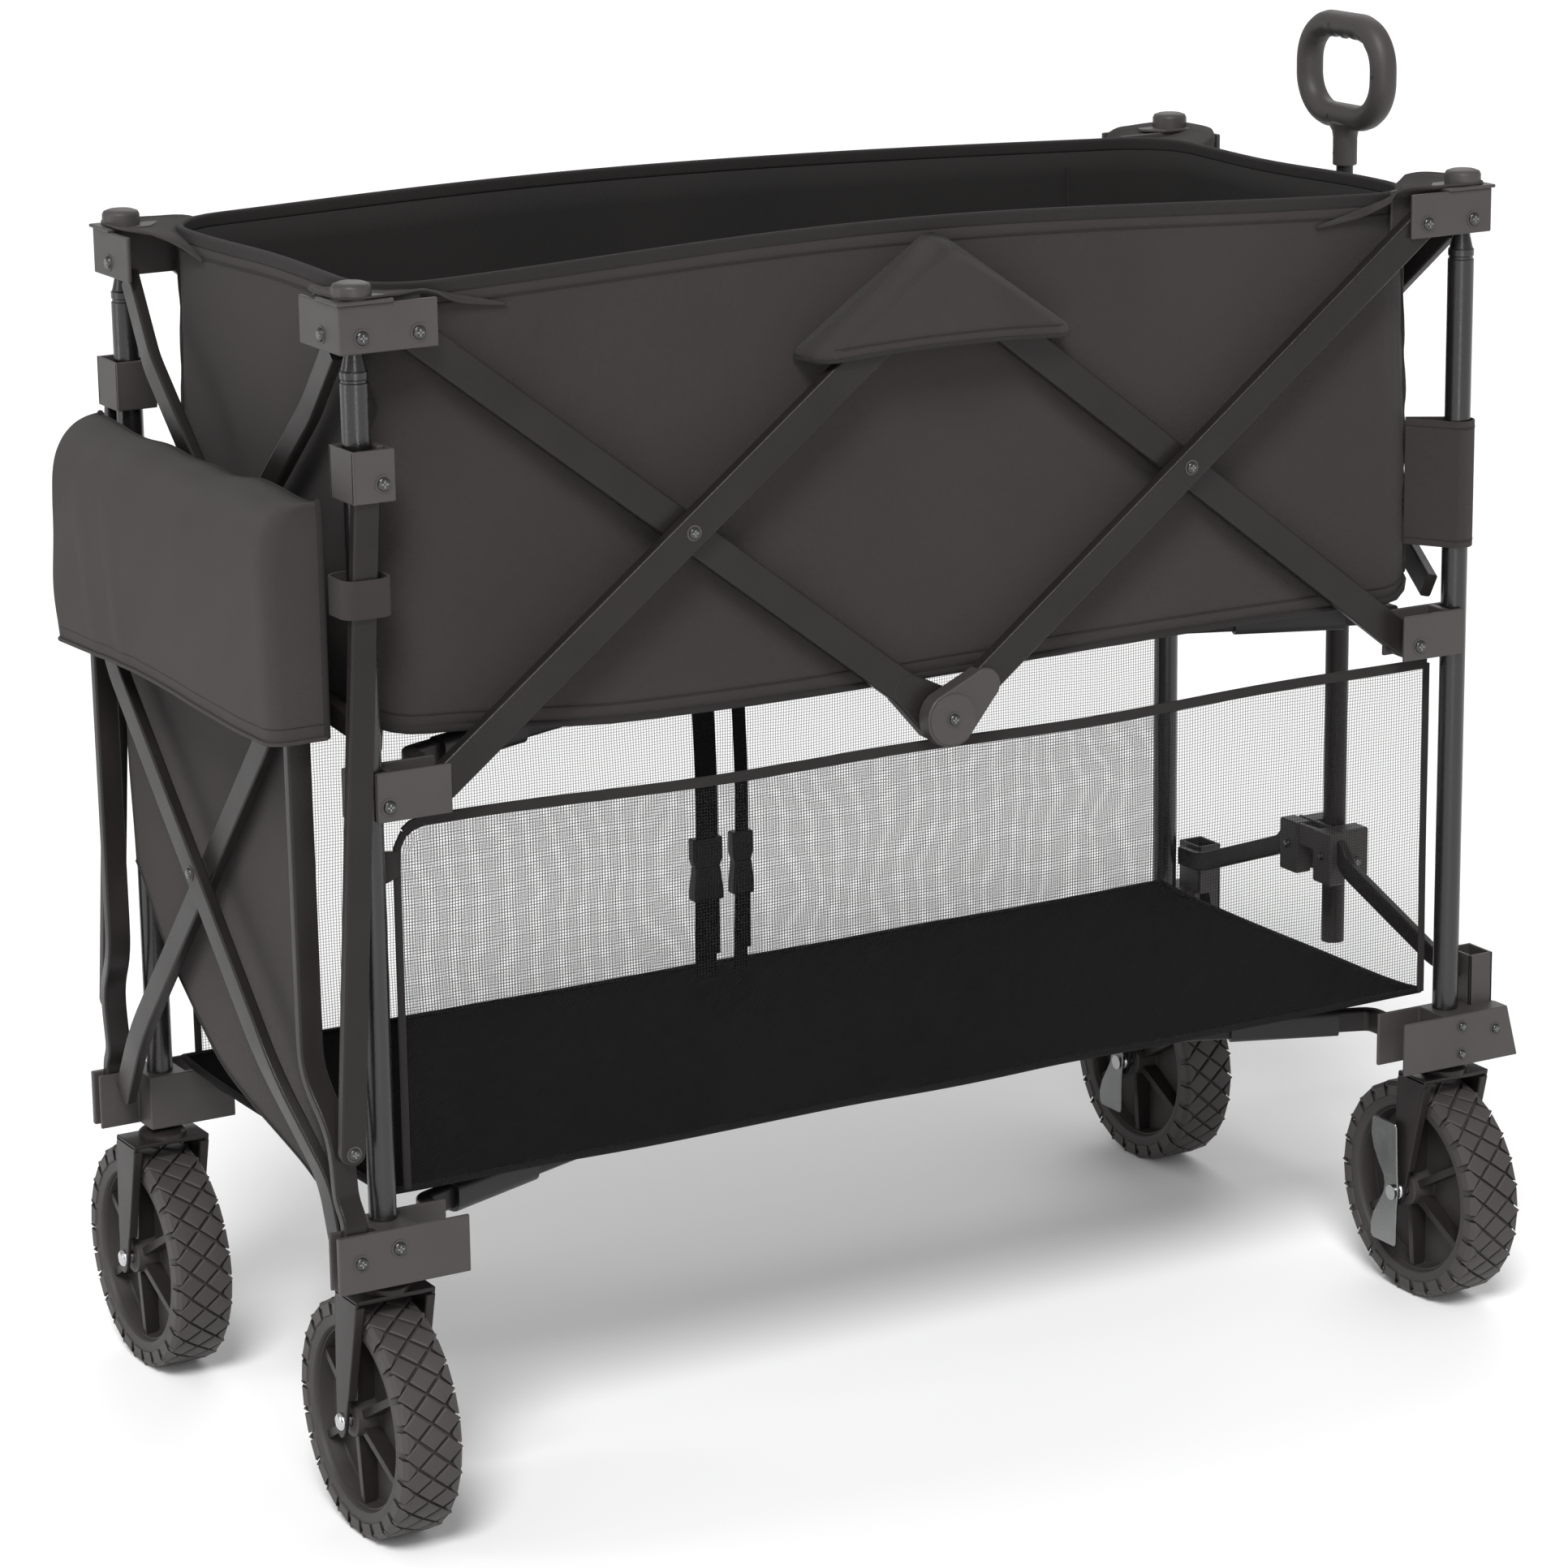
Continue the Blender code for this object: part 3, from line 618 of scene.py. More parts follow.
def top_bracket(end, side):
    low, high = TOP_Z
    outline = [
        (-0.017, 0.015), (0.058, 0.015), (0.058, 0.0118), (0.0165, 0.0118), (0.0165, -0.0118),
        (0.058, -0.0118), (0.058, -0.015), (0.0165, -0.015), (-0.0135, -0.015), (-0.0135, -0.05),
        (-0.017, -0.05),
    ]
    sign_x = ENDS[end]
    sign_y = SIDES[side]
    shape = Shape()
    shape.add(prism(plan(outline, sign_x, sign_y), low, high, "Z"), PLASTIC, 0.0011)
    flange = [
        (-0.019, 0.017), (0.024, 0.017), (0.03, 0.0), (0.0165, -0.017), (-0.0135, -0.019), (-0.019, -0.019),
    ]
    plate = prism(plan(flange, sign_x, sign_y), high - 0.0002, high + 0.0024, "Z")
    shape.add(plate, PLASTIC, 0.0008)
    centre = (sign_x * POST_X, sign_y * POST_Y, 0)
    cap = [
        (0.0140, high + 0.0015), (0.0140, high + 0.0100), (0.0128, high + 0.0124), (0.0090, high + 0.0138),
        (0.0040, high + 0.0142),
    ]
    shape.add(turned(cap, 32, "Z", centre), PLASTIC)
    face = sign_y * (POST_Y + 0.015)
    level = TOP_PIVOT_Z + 0.001
    for inward in (0.0, PIVOT_IN):
        screw(shape, (sign_x * (POST_X - inward), face, level), (0, sign_y, 0))
    screw(shape, (sign_x * (POST_X + 0.017), sign_y * (POST_Y - 0.014), level), (sign_x, 0, 0))
    name = f"{end}_top_bracket_{side}"
    shape.done(f"{name}_shell", f"{end}_frame", "moulded_plastic", [name])


def mid_bracket(end, side):
    low, high = MID_Z
    free = POST_R + 0.0008
    outline = [
        (0.0, 0.015), (0.058, 0.015), (0.058, 0.0118), (0.0165, 0.0118), (0.0165, -0.0118),
        (0.058, -0.0118), (0.058, -0.015), (-0.0135, -0.015), (-0.0135, -free), (free, -free),
        (free, free), (0.0, free),
    ]
    sign_x = ENDS[end]
    sign_y = SIDES[side]
    name = f"{end}_mid_bracket_{side}"
    shape = Shape()
    shape.add(prism(plan(outline, sign_x, sign_y), low, high, "Z"), PLASTIC, 0.0011)
    inward = 0.009 if end == "rear" else PIVOT_IN
    screw(shape, (sign_x * (POST_X - inward), sign_y * (POST_Y + 0.015), MID_PIVOT_Z), (0, sign_y, 0))
    shape.done(f"{name}_shell", name, "moulded_plastic", [name])


def low_bracket(end, side):
    low, high = LOW_Z
    rear = [
        (-0.047, REAR_FACE), (0.056, REAR_FACE), (0.056, 0.0232), (0.0165, 0.0232), (0.0165, -0.0118),
        (0.056, -0.0118), (0.056, -0.015), (-0.015, -0.015), (-0.015, 0.0083), (-0.047, 0.0083),
        (-0.047, 0.0113), (-0.015, 0.0113), (-0.015, 0.0214), (-0.047, 0.0214),
    ]
    front = [
        (-0.056, FRONT_FACE), (0.056, FRONT_FACE), (0.056, 0.02), (0.0165, 0.02), (0.0165, -0.0118),
        (0.056, -0.0118), (0.056, -0.015), (-0.015, -0.015), (-0.015, -0.024), (-0.042, -0.024),
        (-0.056, 0.008),
    ]
    sign_x = ENDS[end]
    sign_y = SIDES[side]
    name = f"{end}_low_bracket_{side}"
    shape = Shape()
    outline = rear if end == "rear" else front
    socket = prism(plan(outline, sign_x, sign_y), low, high, "Z")
    for vertex in socket.verts:
        outer_fin = end == "front" and vertex.co.x > POST_X + 0.04
        if outer_fin and vertex.co.z > (low + high) / 2:
            vertex.co.x -= FIN_LEAN
    shape.add(socket, PLASTIC, 0.0011)
    if end == "rear":
        face = sign_y * (POST_Y + REAR_FACE)
        screw(shape, (sign_x * (POST_X + 0.03), face, 0.222), (0, sign_y, 0))
        screw(shape, (sign_x * POST_X, face, 0.228), (0, sign_y, 0))
    else:
        face = sign_y * (POST_Y + FRONT_FACE)
        (left, back), (right, front_y) = TOWER
        walls = (
            (TOWER[0], (left + TOWER_WALL, front_y)), ((right - TOWER_WALL, back), TOWER[1]),
            (TOWER[0], (right, back + TOWER_WALL)), ((left, front_y - TOWER_WALL), TOWER[1]),
        )
        for first, second in walls:
            corners = [first, (second[0], first[1]), second, (first[0], second[1])]
            shape.add(prism(plan(corners, 1, sign_y), high - 0.02, TOWER_TOP, "Z"), PLASTIC, 0.0006)
        for x_off, z in ((0.033, 0.226), (0.0, 0.233), (0.0, 0.210)):
            screw(shape, (POST_X + x_off, face, z), (0, sign_y, 0), 0.0036)
    shape.done(f"{name}_shell", f"{end}_frame", "moulded_plastic", [name])


for end in ENDS:
    for side in SIDES:
        post(end, side)
        top_bracket(end, side)
        mid_bracket(end, side)
        low_bracket(end, side)


# Side scissors
BAR_HALF = 0.0125
KNUCKLE = {"inner": (STEEL, 0.0205), "outer": (PLASTIC, 0.0218)}
KNUCKLE_REACH = 0.036
KNUCKLE_STEP = 0.004
BAR_LAYERS = {"inner": (-0.011, -0.0005), "outer": (0.0005, 0.011)}
SIDE_BARS = {
    "rear_drop": ((-PIVOT_X, TOP_PIVOT_Z), (0, MID_PIVOT_Z), "inner", True),
    "rear_rise": ((-PIVOT_X, MID_PIVOT_Z), (0, TOP_PIVOT_Z), "outer", False),
    "front_rise": ((PIVOT_X, MID_PIVOT_Z), (0, TOP_PIVOT_Z), "inner", False),
    "front_drop": ((PIVOT_X, TOP_PIVOT_Z), (0, MID_PIVOT_Z), "outer", True),
}


def side_bar(name, side):
    start, middle, layer, knuckled = SIDE_BARS[name]
    low, high = BAR_LAYERS[layer]
    sign = SIDES[side]
    span = sorted(sign * (POST_Y + v) for v in (low, high))
    shape = Shape()
    shape.add(prism(stadium(start, middle, BAR_HALF, BAR_HALF), *span, "Y"), STEEL, 0.0019, 3)
    out = sign * (POST_Y + high)
    if layer == "outer":
        half = ((start[0] + middle[0]) / 2, (start[1] + middle[1]) / 2)
        screw(shape, (half[0], out, half[1]), (0, sign, 0), 0.0044)
    if knuckled:
        toward = (Vector(start) - Vector(middle)).normalized()
        foot = Vector(middle) + toward * KNUCKLE_REACH
        deeper = (low - KNUCKLE_STEP, high + 0.0003)
        if layer == "outer":
            deeper = (low - 0.0003, high + KNUCKLE_STEP)
        span = sorted(sign * (POST_Y + v) for v in deeper)
        finish, radius = KNUCKLE[layer]
        shape.add(prism(stadium(foot, middle, 0.0132, radius, 12), *span, "Y"), finish, 0.0018, 3)
        if layer == "outer":
            face = sign * (POST_Y + high + KNUCKLE_STEP)
            disc = [(0.0196, -0.001), (0.0196, 0.0006), (0.0188, 0.0012)]
            plate = turned(disc, 36, "Y", (middle[0], 0, middle[1]))
            if sign < 0:
                mirrored(plate, 1)
            bmesh.ops.translate(plate, vec=(0, face, 0), verts=plate.verts)
            shape.add(plate, PLASTIC)
            screw(shape, (middle[0], face + sign * 0.0012, middle[1]), (0, sign, 0), 0.0044)
    bar = f"{name}_bar_{side}"
    shape.done(f"{bar}_tube", bar, "frame_steel", [bar])


for side in SIDES:
    for name in SIDE_BARS:
        side_bar(name, side)


CROSS_FOOT_Z = 0.588
CROSS_HIGH = (0.118, 0.814)
CROSS_LOW = (0.1, 0.619)
CROSS_SEAT = 0.0052
CROSS_DEPTHS = {"near": -0.004, "far": 0.0145}


def cross_bar(end, from_side):
    """Cranked bar from one top bracket down to the post across from it."""
    sign = SIDES[from_side]
    at = ENDS[end]
    plane = at * (POST_X + CROSS_DEPTHS[from_side])
    path = [
        (at * (POST_X + 0.004), sign * (POST_Y - 0.022), TOP_PIVOT_Z - 0.0105),
        (plane, sign * CROSS_HIGH[0], CROSS_HIGH[1]),
        (plane, -sign * CROSS_LOW[0], CROSS_LOW[1]),
        (at * (POST_X - POST_R - CROSS_SEAT), -sign * (POST_Y - 0.013), CROSS_FOOT_Z),
    ]
    section = oval(0.02, 0.009, 0.002)
    shape = Shape().add(sweep(eased(path, 0.009), section, (0, 0.66, -0.75 * sign)), STEEL)
    name = f"{end}_cross_bar_{from_side}"
    shape.done(f"{name}_tube", f"{end}_frame", "frame_steel", [name])


for end in ENDS:
    for side in SIDES:
        cross_bar(end, side)


# Basket
def smoothstep(t):
    t = min(1.0, max(0.0, t))
    return t * t * (3 - 2 * t)


def along_points(points, share):
    """Point at a share of the way through a list, easing between neighbours."""
    at = share * (len(points) - 1)
    first = min(int(at), len(points) - 2)
    before = points[max(first - 1, 0)]
    after = points[min(first + 2, len(points) - 1)]
    t = at - first
    made = []
    for a, b, c, d in zip(before, points[first], points[first + 1], after):
        made.append(b + 0.5 * t * (c - a + t * (2 * a - 5 * b + 4 * c - d + t * (3 * (b - c) + d - a))))
    return made


def rectangle_at(share, half_x, half_y, radius):
    """(point, outward) on a rounded rectangle, by share of its length, clockwise from the rear middle."""
    straight_y = half_y - radius
    straight_x = half_x - radius
    arc = math.pi * radius / 2
    whole_y = 2 * straight_y
    whole_x = 2 * straight_x
    lengths = (straight_y, arc, whole_x, arc, whole_y, arc, whole_x, arc, straight_y)
    at = (share % 1.0) * sum(lengths)
    starts = (
        ((-half_x, 0), None), ((-straight_x, straight_y), 180), ((-straight_x, half_y), None),
        ((straight_x, straight_y), 90), ((half_x, straight_y), None), ((straight_x, -straight_y), 0),
        ((straight_x, -half_y), None), ((-straight_x, -straight_y), 270), ((-half_x, -straight_y), None),
    )
    heading = (90, None, 0, None, 270, None, 180, None, 90)
    for (origin, turn), length, course in zip(starts, lengths, heading):
        if at <= length:
            break
        at -= length
    if turn is None:
        way = math.radians(course)
        place = Vector((origin[0] + at * math.cos(way), origin[1] + at * math.sin(way), 0))
        out = Vector((-math.sin(way), math.cos(way), 0))
        return place, out
    angle = math.radians(turn) - at / radius
    out = Vector((math.cos(angle), math.sin(angle), 0))
    return Vector((origin[0], origin[1], 0)) + out * radius, out


def basket_radius(height):
    """Corner radius of the basket in plan, wider towards the rim."""
    return 0.030 + 0.018 * smoothstep((height - 0.35) / 0.65)


def basket_top(x, y):
    """Rim height: the long sides rise to their middle, where the pockets hang."""
    along = math.cos(math.pi * max(-1.0, min(1.0, x / BASKET_X)) / 2)
    beside = smoothstep((abs(y) - 0.10) / 0.07)
    wave = 0.0012 * math.sin(23 * y + 9 * x)
    return BASKET_TOP - 0.0045 * x / BASKET_X + 0.0125 * along ** 1.4 * beside + wave


def basket_bottom(x, y):
    """Height of the lower edge, with its rounded lower corners."""
    wave = 0.0022 * math.sin(9 * x + 2 * y)
    sag = -0.0035 * math.cos(math.pi * x / (2 * BASKET_X))
    corner = max(0.0, (abs(x) - 0.412) / (BASKET_X - 0.412))
    rise = 0.017 if x > 0 else 0.004
    return BASKET_LOW + 0.009 * smoothstep((-x - 0.25) / 0.18) + wave + sag + rise * corner ** 2.4


def basket_point(share, height, lift=0.0):
    """Point of the wall's outer face at that share of the way round and height from 0 to 1."""
    flat, out = rectangle_at(share, BASKET_X, BASKET_Y, basket_radius(height))
    low = basket_bottom(flat.x, flat.y)
    high = basket_top(flat.x, flat.y)
    z = low + (high - low) * height
    loose = math.sin(math.pi * min(1.0, max(0.0, height))) ** 0.7
    soft = noise.noise(Vector((flat.x * 5.5, flat.y * 5.5, z * 6)))
    fold = noise.noise(Vector((flat.x * 22 + 7, flat.y * 22, z * 3.5)))
    push = -0.003 + 0.0035 * soft + 0.0012 * fold
    return flat + out * (push * loose + lift) + Vector((0, 0, z))


def basket_floor():
    """Floor that sags a little between the support frames, inside the walls."""
    half_x = BASKET_X - 0.0025
    half_y = BASKET_Y - 0.0025
    corner = 0.032

    def point(u, v):
        x = (2 * u - 1) * half_x
        y = (2 * v - 1) * half_y
        over_x = abs(x) - (half_x - corner)
        over_y = abs(y) - (half_y - corner)
        if over_x > 0 and over_y > 0:
            reach = math.hypot(over_x, over_y)
            stretch = max(over_x, over_y) / reach if reach else 1.0
            x = math.copysign(half_x - corner + over_x * stretch, x)
            y = math.copysign(half_y - corner + over_y * stretch, y)
        sag = 0.002 * (1 - (2 * u - 1) ** 2) * (1 - (2 * v - 1) ** 2)
        return Vector((x, y, basket_bottom(x, y) + 0.003 - sag))

    return grid(60, 26, point, (2 * half_x, 2 * half_y))


def basket_ring(height, lift, count=220):
    return [basket_point(k / count, height, lift) for k in range(count)]


def basket():
    length = 2 * (2 * BASKET_X + 2 * BASKET_Y) - 0.4 * 0.86
    walls = Shape().add(hoop(220, 34, basket_point, (length, BASKET_TOP - BASKET_LOW)), FABRIC)
    walls.done("basket_walls", "rear_frame", "basket_fabric", ["basket"], thickness=0.0022, squashes=True)

    def lining_point(u, v):
        return basket_point(u, 0.02 + 0.965 * v, -0.0032)

    # The lining takes the darker cloth: painted shade inside the basket.
    lining = Shape()
    lining.add(hoop(160, 16, lining_point, (2.3, 0.31), inward=True), SHADED_LINING)
    lining.add(basket_floor(), SHADED_LINING)
    lining.done("basket_lining", "rear_frame", "basket_fabric", thickness=0.0016, squashes=True)
    trim = Shape()
    rings = (
        (1.0, -0.001, oval(0.0105, 0.0056, 0.0024)), (0.962, 0.0012, circle(0.0009, 6)),
        (0.0, 0.0008, circle(0.0027, 8)), (0.036, 0.0012, circle(0.0008, 6)),
    )
    for height, lift, section in rings:
        trim.add(sweep(basket_ring(height, lift), section, (0, 0, 1), loop=True), BINDING)
    for base in corner_shares():
        path = []
        for h in range(41):
            share = base + 0.0016 * math.sin(40 * h / 40)
            path.append(basket_point(share, 0.01 + 0.97 * h / 40, 0.0010))
        trim.add(sweep(path, circle(0.0026, 8), (0.5, 0.5, 0)), BINDING)
    seam = [basket_point(0.395, 0.05 + 0.9 * h / 20, -0.0052) for h in range(21)]
    trim.add(sweep(seam, circle(0.0014, 6), (0.5, 0.5, 0)), BINDING)
    trim.done("basket_trim", "rear_frame", "basket_fabric", squashes=True)


def corner_shares():
    """Shares of the way round where the upright piping runs: at the turn of each end panel."""
    found = []
    count = 4000
    for end in ENDS.values():
        for side in SIDES.values():
            target = Vector((end * (BASKET_X - 0.004), side * (BASKET_Y - 0.02), 0))
            spots = [rectangle_at(k / count, BASKET_X, BASKET_Y, 0.034)[0] for k in range(count)]
            best = min(range(count), key=lambda k: (spots[k] - target).length)
            found.append(best / count)
    return found


basket()


GORE_INNER = (
    (0.345, 0.1842, -0.017), (0.378, 0.1840, -0.008), (0.402, 0.1838, -0.002), (0.4192, 0.1800, 0.0),
    (0.4305, 0.1740, 0.0), (0.4385, 0.1660, 0.0), (0.4460, 0.1530, 0.0), (0.4490, 0.1400, 0.0),
    (0.4502, 0.1180, -0.005), (0.4508, 0.0950, -0.013),
)
GORE_OUTER = (
    (0.344, 0.1850, -0.0185), (0.384, 0.1890, -0.011), (0.413, 0.2010, 0.0030), (0.440, 0.2105, 0.0040),
    (0.474, 0.2140, 0.0042), (0.4835, 0.2040, 0.0042), (0.4838, 0.1640, 0.0042), (0.4720, 0.1380, 0.0030),
    (0.4575, 0.1160, -0.006), (0.4512, 0.0940, -0.0145),
)


def corner_web(end, side):
    """Fabric gore pinned under the cap of a top bracket, with pointed tails along the rim."""
    sign_x = ENDS[end]
    sign_y = SIDES[side]

    def point(u, v):
        inner = along_points(GORE_INNER, u)
        outer = along_points(GORE_OUTER, u)
        rim = basket_top(sign_x * inner[0], sign_y * inner[1])
        low = rim + inner[2]
        high = (rim if outer[2] < 0 else TOP_Z[1]) + outer[2]
        dip = 0.0025 * math.sin(math.pi * v) * math.sin(math.pi * u)
        flat = [a + (b - a) * v for a, b in zip(inner, outer)]
        return Vector((sign_x * flat[0], sign_y * flat[1], low + (high - low) * v - dip))

    shape = Shape().add(grid(48, 6, point, (0.26, 0.05)), FABRIC)
    name = f"{end}_corner_gore_{side}"
    shape.done(name, "rear_frame", "basket_fabric", thickness=0.0018, squashes=True)


for end in ENDS:
    for side in SIDES:
        corner_web(end, side)


POCKET_APEX = 0.905
POCKET_HEM = 0.8245
POCKET_HALF = 0.112
POCKET_OUT = 0.0145


def pocket_half(v):
    """Half width of the pocket at a share of its height, with blunt lower corners."""
    return POCKET_HALF + (0.005 - POCKET_HALF) * max(0.0, (v - 0.07) / 0.93)


def pocket(side):
    """Triangle of cloth that covers the peak where two side bars meet."""
    rise = POCKET_APEX - POCKET_HEM
    wall = BASKET_Y - 0.001

    def point(u, v):
        half = pocket_half(v)
        x = (2 * u - 1) * half
        near_edge = min(1.0, (half - abs(x)) / 0.017)
        near_top = min(1.0, (1 - v) / 0.07)
        round_over = math.sqrt(1 - (1 - near_edge) ** 2) * math.sqrt(1 - (1 - near_top) ** 2)
        crease = 0.0014 * noise.noise(Vector((x * 30, v * 2, SIDES[side])))
        out = wall + (POST_Y + POCKET_OUT - wall) * round_over + crease * near_edge
        bow = 0.004 * (1 - (2 * u - 1) ** 2) * (1 - v)
        return Vector((x, SIDES[side] * out, POCKET_HEM + rise * v + bow))

    cloth = Shape().add(grid(44, 22, point, (2 * POCKET_HALF, rise)), FABRIC)
    cloth.done(f"peak_pocket_{side}", "rear_frame", "basket_fabric", thickness=0.0018, squashes=True)
    hem = Shape()
    path = [point(k / 40, 0.0) for k in range(41)]
    lower = [p + Vector((0, SIDES[side] * 0.0003, 0)) for p in path]
    hem.add(sweep(lower, oval(0.0032, 0.0032, 0.0014), (0, 0, 1)), BINDING)
    upper = [point(k / 40, 0.1) + Vector((0, SIDES[side] * 0.001, 0)) for k in range(2, 39)]
    hem.add(sweep(upper, circle(0.0006, 6), (0, 0, 1)), BINDING)
    hem.done(f"peak_pocket_hem_{side}", "rear_frame", "basket_fabric", squashes=True)


for side in SIDES:
    pocket(side)


# Sleeves on the front posts
SLEEVE_R = 0.0128
SLEEVE_MIDDLE = 0.671
SLEEVE_HIGH = 0.1


def sleeve(side):
    """Cloth band from the basket's corner, round the front post and back."""
    sign = SIDES[side]
    corner = Vector((BASKET_X - 0.0088, BASKET_Y - 0.0078))
    post_at = Vector((POST_X, POST_Y))
    plan_path = [corner + Vector((0.0, 0.001))]
    for k in range(15):
        turn = math.radians(125 - 220 * k / 14)
        plan_path.append(post_at + SLEEVE_R * Vector((math.cos(turn), math.sin(turn))))
    plan_path.append(corner + Vector((0.003, -0.004)))
    path = [(p.x, sign * p.y, SLEEVE_MIDDLE) for p in plan_path]
    cloth = Shape().add(sweep(path, oval(SLEEVE_HIGH, 0.0016, 0.0007), (0, 0, 1)), FABRIC)
    for height in (0.6265, 0.7155):
        line = [(p.x, sign * (p.y + 0.0009), height) for p in plan_path[:10]]
        cloth.add(sweep(line, circle(0.0006, 6), (0, 0, 1)), BINDING)
    cloth.done(f"front_sleeve_{side}", "front_frame", "basket_fabric")


for side in SIDES:
    sleeve(side)


# Lower deck and side nets
def deck_point(u, v):
    x = (2 * u - 1) * (POST_X - 0.014)
    y = (2 * v - 1) * (POST_Y - 0.016)
    across = (2 * v - 1) ** 2
    sag = -0.0035 * (1 - across) * (1 - (2 * u - 1) ** 4)
    lift = 0.0035 * across ** 4 * (0.6 + 0.4 * (2 * u - 1) ** 2)
    ripple = 0.0012 * noise.noise(Vector((x * 9, y * 9, 0.3)))
    return Vector((x, y, DECK_Z + sag + lift + ripple))


def deck():
    size = (2 * (POST_X - 0.014), 2 * (POST_Y - 0.016))
    cloth = Shape().add(grid(110, 44, deck_point, size), DECK_CLOTH)
    made = cloth.done("deck_cloth", "rear_frame", "deck_fabric", ["lower_deck"], thickness=0.0016, squashes=True)
    hem = Shape()
    rim = [(k / 60, 0.0) for k in range(60)] + [(1.0, k / 24) for k in range(24)]
    rim += [(1 - k / 60, 1.0) for k in range(60)] + [(0.0, 1 - k / 24) for k in range(24)]
    hem.add(sweep([deck_point(u, v) for u, v in rim], circle(0.0028, 8), (0, 0, 1), loop=True), WEBBING)
    edge = hem.done("deck_edge", "rear_frame", "deck_fabric", squashes=True)


NET_LOW = DECK_Z + 0.003
NET_TOP = 0.526
NET_Y = 0.1853
NET_REAR = -0.443
NET_FRONT = 0.456
NET_ROUND = 0.022


def net_point(u, v, side):
    """Point of a side net, whose rear upper corner is rounded."""
    x = NET_REAR + (NET_FRONT - NET_REAR) * u
    z = NET_LOW + (NET_TOP - NET_LOW) * v
    over_x = max(0.0, NET_REAR + NET_ROUND - x)
    over_z = max(0.0, z - (NET_TOP - NET_ROUND))
    if over_x and over_z:
        stretch = max(over_x, over_z) / math.hypot(over_x, over_z)
        x = NET_REAR + NET_ROUND - over_x * stretch
        z = NET_TOP - NET_ROUND + over_z * stretch
    slack = -0.0045 * math.sin(math.pi * u) * v + 0.0012 * math.sin(17 * u) * v
    sway = 0.0012 * noise.noise(Vector((x * 5, v * 1.5, SIDES[side])))
    return Vector((x, SIDES[side] * (NET_Y + sway), z + slack))


def side_net(side):
    """Open net with its bound edges and the tab that ties it to the rear post."""
    size = (NET_FRONT - NET_REAR, NET_TOP - NET_LOW)
    cloth = Shape().add(grid(90, 24, lambda u, v: net_point(u, v, side), size), NET)
    made = cloth.done(f"side_net_{side}", "rear_frame", "side_net", [f"side_mesh_{side}"], squashes=True)
    made.modifiers.clear()
    tape = Shape()
    section = oval(0.0082, 0.0024, 0.001, 2)
    top = [net_point(k / 80, 1.0, side) for k in range(81)]
    upright = oval(0.0024, 0.0060, 0.001, 2)
    tape.add(sweep(top, section, (0, 0, 1)), BINDING)
    for u in (0.0, 1.0):
        tape.add(sweep([net_point(u, k / 16, side) for k in range(17)], upright, (0, 1, 0)), BINDING)
    post_face = -POST_X + TUBE_R
    tab = [(NET_REAR, 0.488), (post_face, 0.482), (post_face, 0.509), (NET_REAR, 0.507)]
    span = sorted(SIDES[side] * (NET_Y + v) for v in (0.0004, 0.0024))
    tape.add(prism(tab, *span, "Y"), BINDING, 0.0004)
    edging = tape.done(f"side_net_binding_{side}", "rear_frame", "side_net", squashes=True)


deck()
for side in SIDES:
    side_net(side)


# Support frames under the basket and the deck
SUPPORT_TIP = 0.07
SUPPORT_END = 0.183
SUPPORT_BEND = 0.165
SUPPORT_NOSE = 0.03
SUPPORTS = {"basket": (0.566, 0.047), "deck": (0.232, 0.047)}


def support(kind, end):
    """U-shaped bar under the basket or the deck."""
    height, pivot_in = SUPPORTS[kind]
    at = ENDS[end]
    root_x = at * (POST_X - pivot_in)
    tip_x = at * SUPPORT_TIP
    half = [(root_x, SUPPORT_END), (root_x, SUPPORT_BEND), (tip_x, SUPPORT_NOSE)]
    path = [(x, -y, height) for x, y in half] + [(x, y, height) for x, y in reversed(half)]
    shape = Shape()
    shape.add(sweep(eased(path, 0.02), oval(0.018, 0.012, 0.003), (0, 0, 1)), STEEL)
    for sign in (-1, 1):
        start = Vector((root_x, sign * 0.168, height))
        way = (Vector((tip_x, sign * SUPPORT_NOSE, height)) - start).normalized()
        foot = [start + way * 0.03, start + way * 0.118]
        shape.add(sweep(foot, oval(0.0225, 0.0165, 0.006), (0, 0, 1)), DARK_PLASTIC)
    name = f"{kind}_support_{end}"
    shape.done(f"{name}_frame", name, "frame_steel", [name])


for kind in SUPPORTS:
    for end in ENDS:
        support(kind, end)


# Tailgate
GATE_X = -POST_X - 0.03
GATE_Z = 0.222
STRUT_LAYER = (0.0118, 0.0208)
STRUT_FOOT_Z = 0.302
SLIDER_Z = (0.766, 0.803)


def slider(side):
    """Collar that runs on a rear post and carries the strut."""
    sign = SIDES[side]
    free = POST_R + 0.0008
    outline = [
        (-0.0145, 0.0245), (0.0175, 0.0245), (0.0175, -0.0135), (-0.0145, -0.0135), (-0.0145, -free),
        (free, -free), (free, free), (0.0145, free + 0.0006), (0.0145, 0.0213), (-0.0145, 0.0213),
    ]
    name = f"rear_slider_{side}"
    shape = Shape().add(prism(plan(outline, -1, sign), *SLIDER_Z, "Z"), PLASTIC, 0.0011)
    cheek = [(-0.0145, -0.0135), (-0.0145, 0.0245), (-0.0128, 0.0245), (-0.0128, -0.0135)]
    shape.add(prism(plan(cheek, -1, sign), *SLIDER_Z, "Z"), PLASTIC, 0.0005)
    screw(shape, (-POST_X + 0.008, sign * (POST_Y + 0.0245), 0.779), (0, sign, 0))
    shape.done(f"{name}_shell", name, "moulded_plastic", [name])


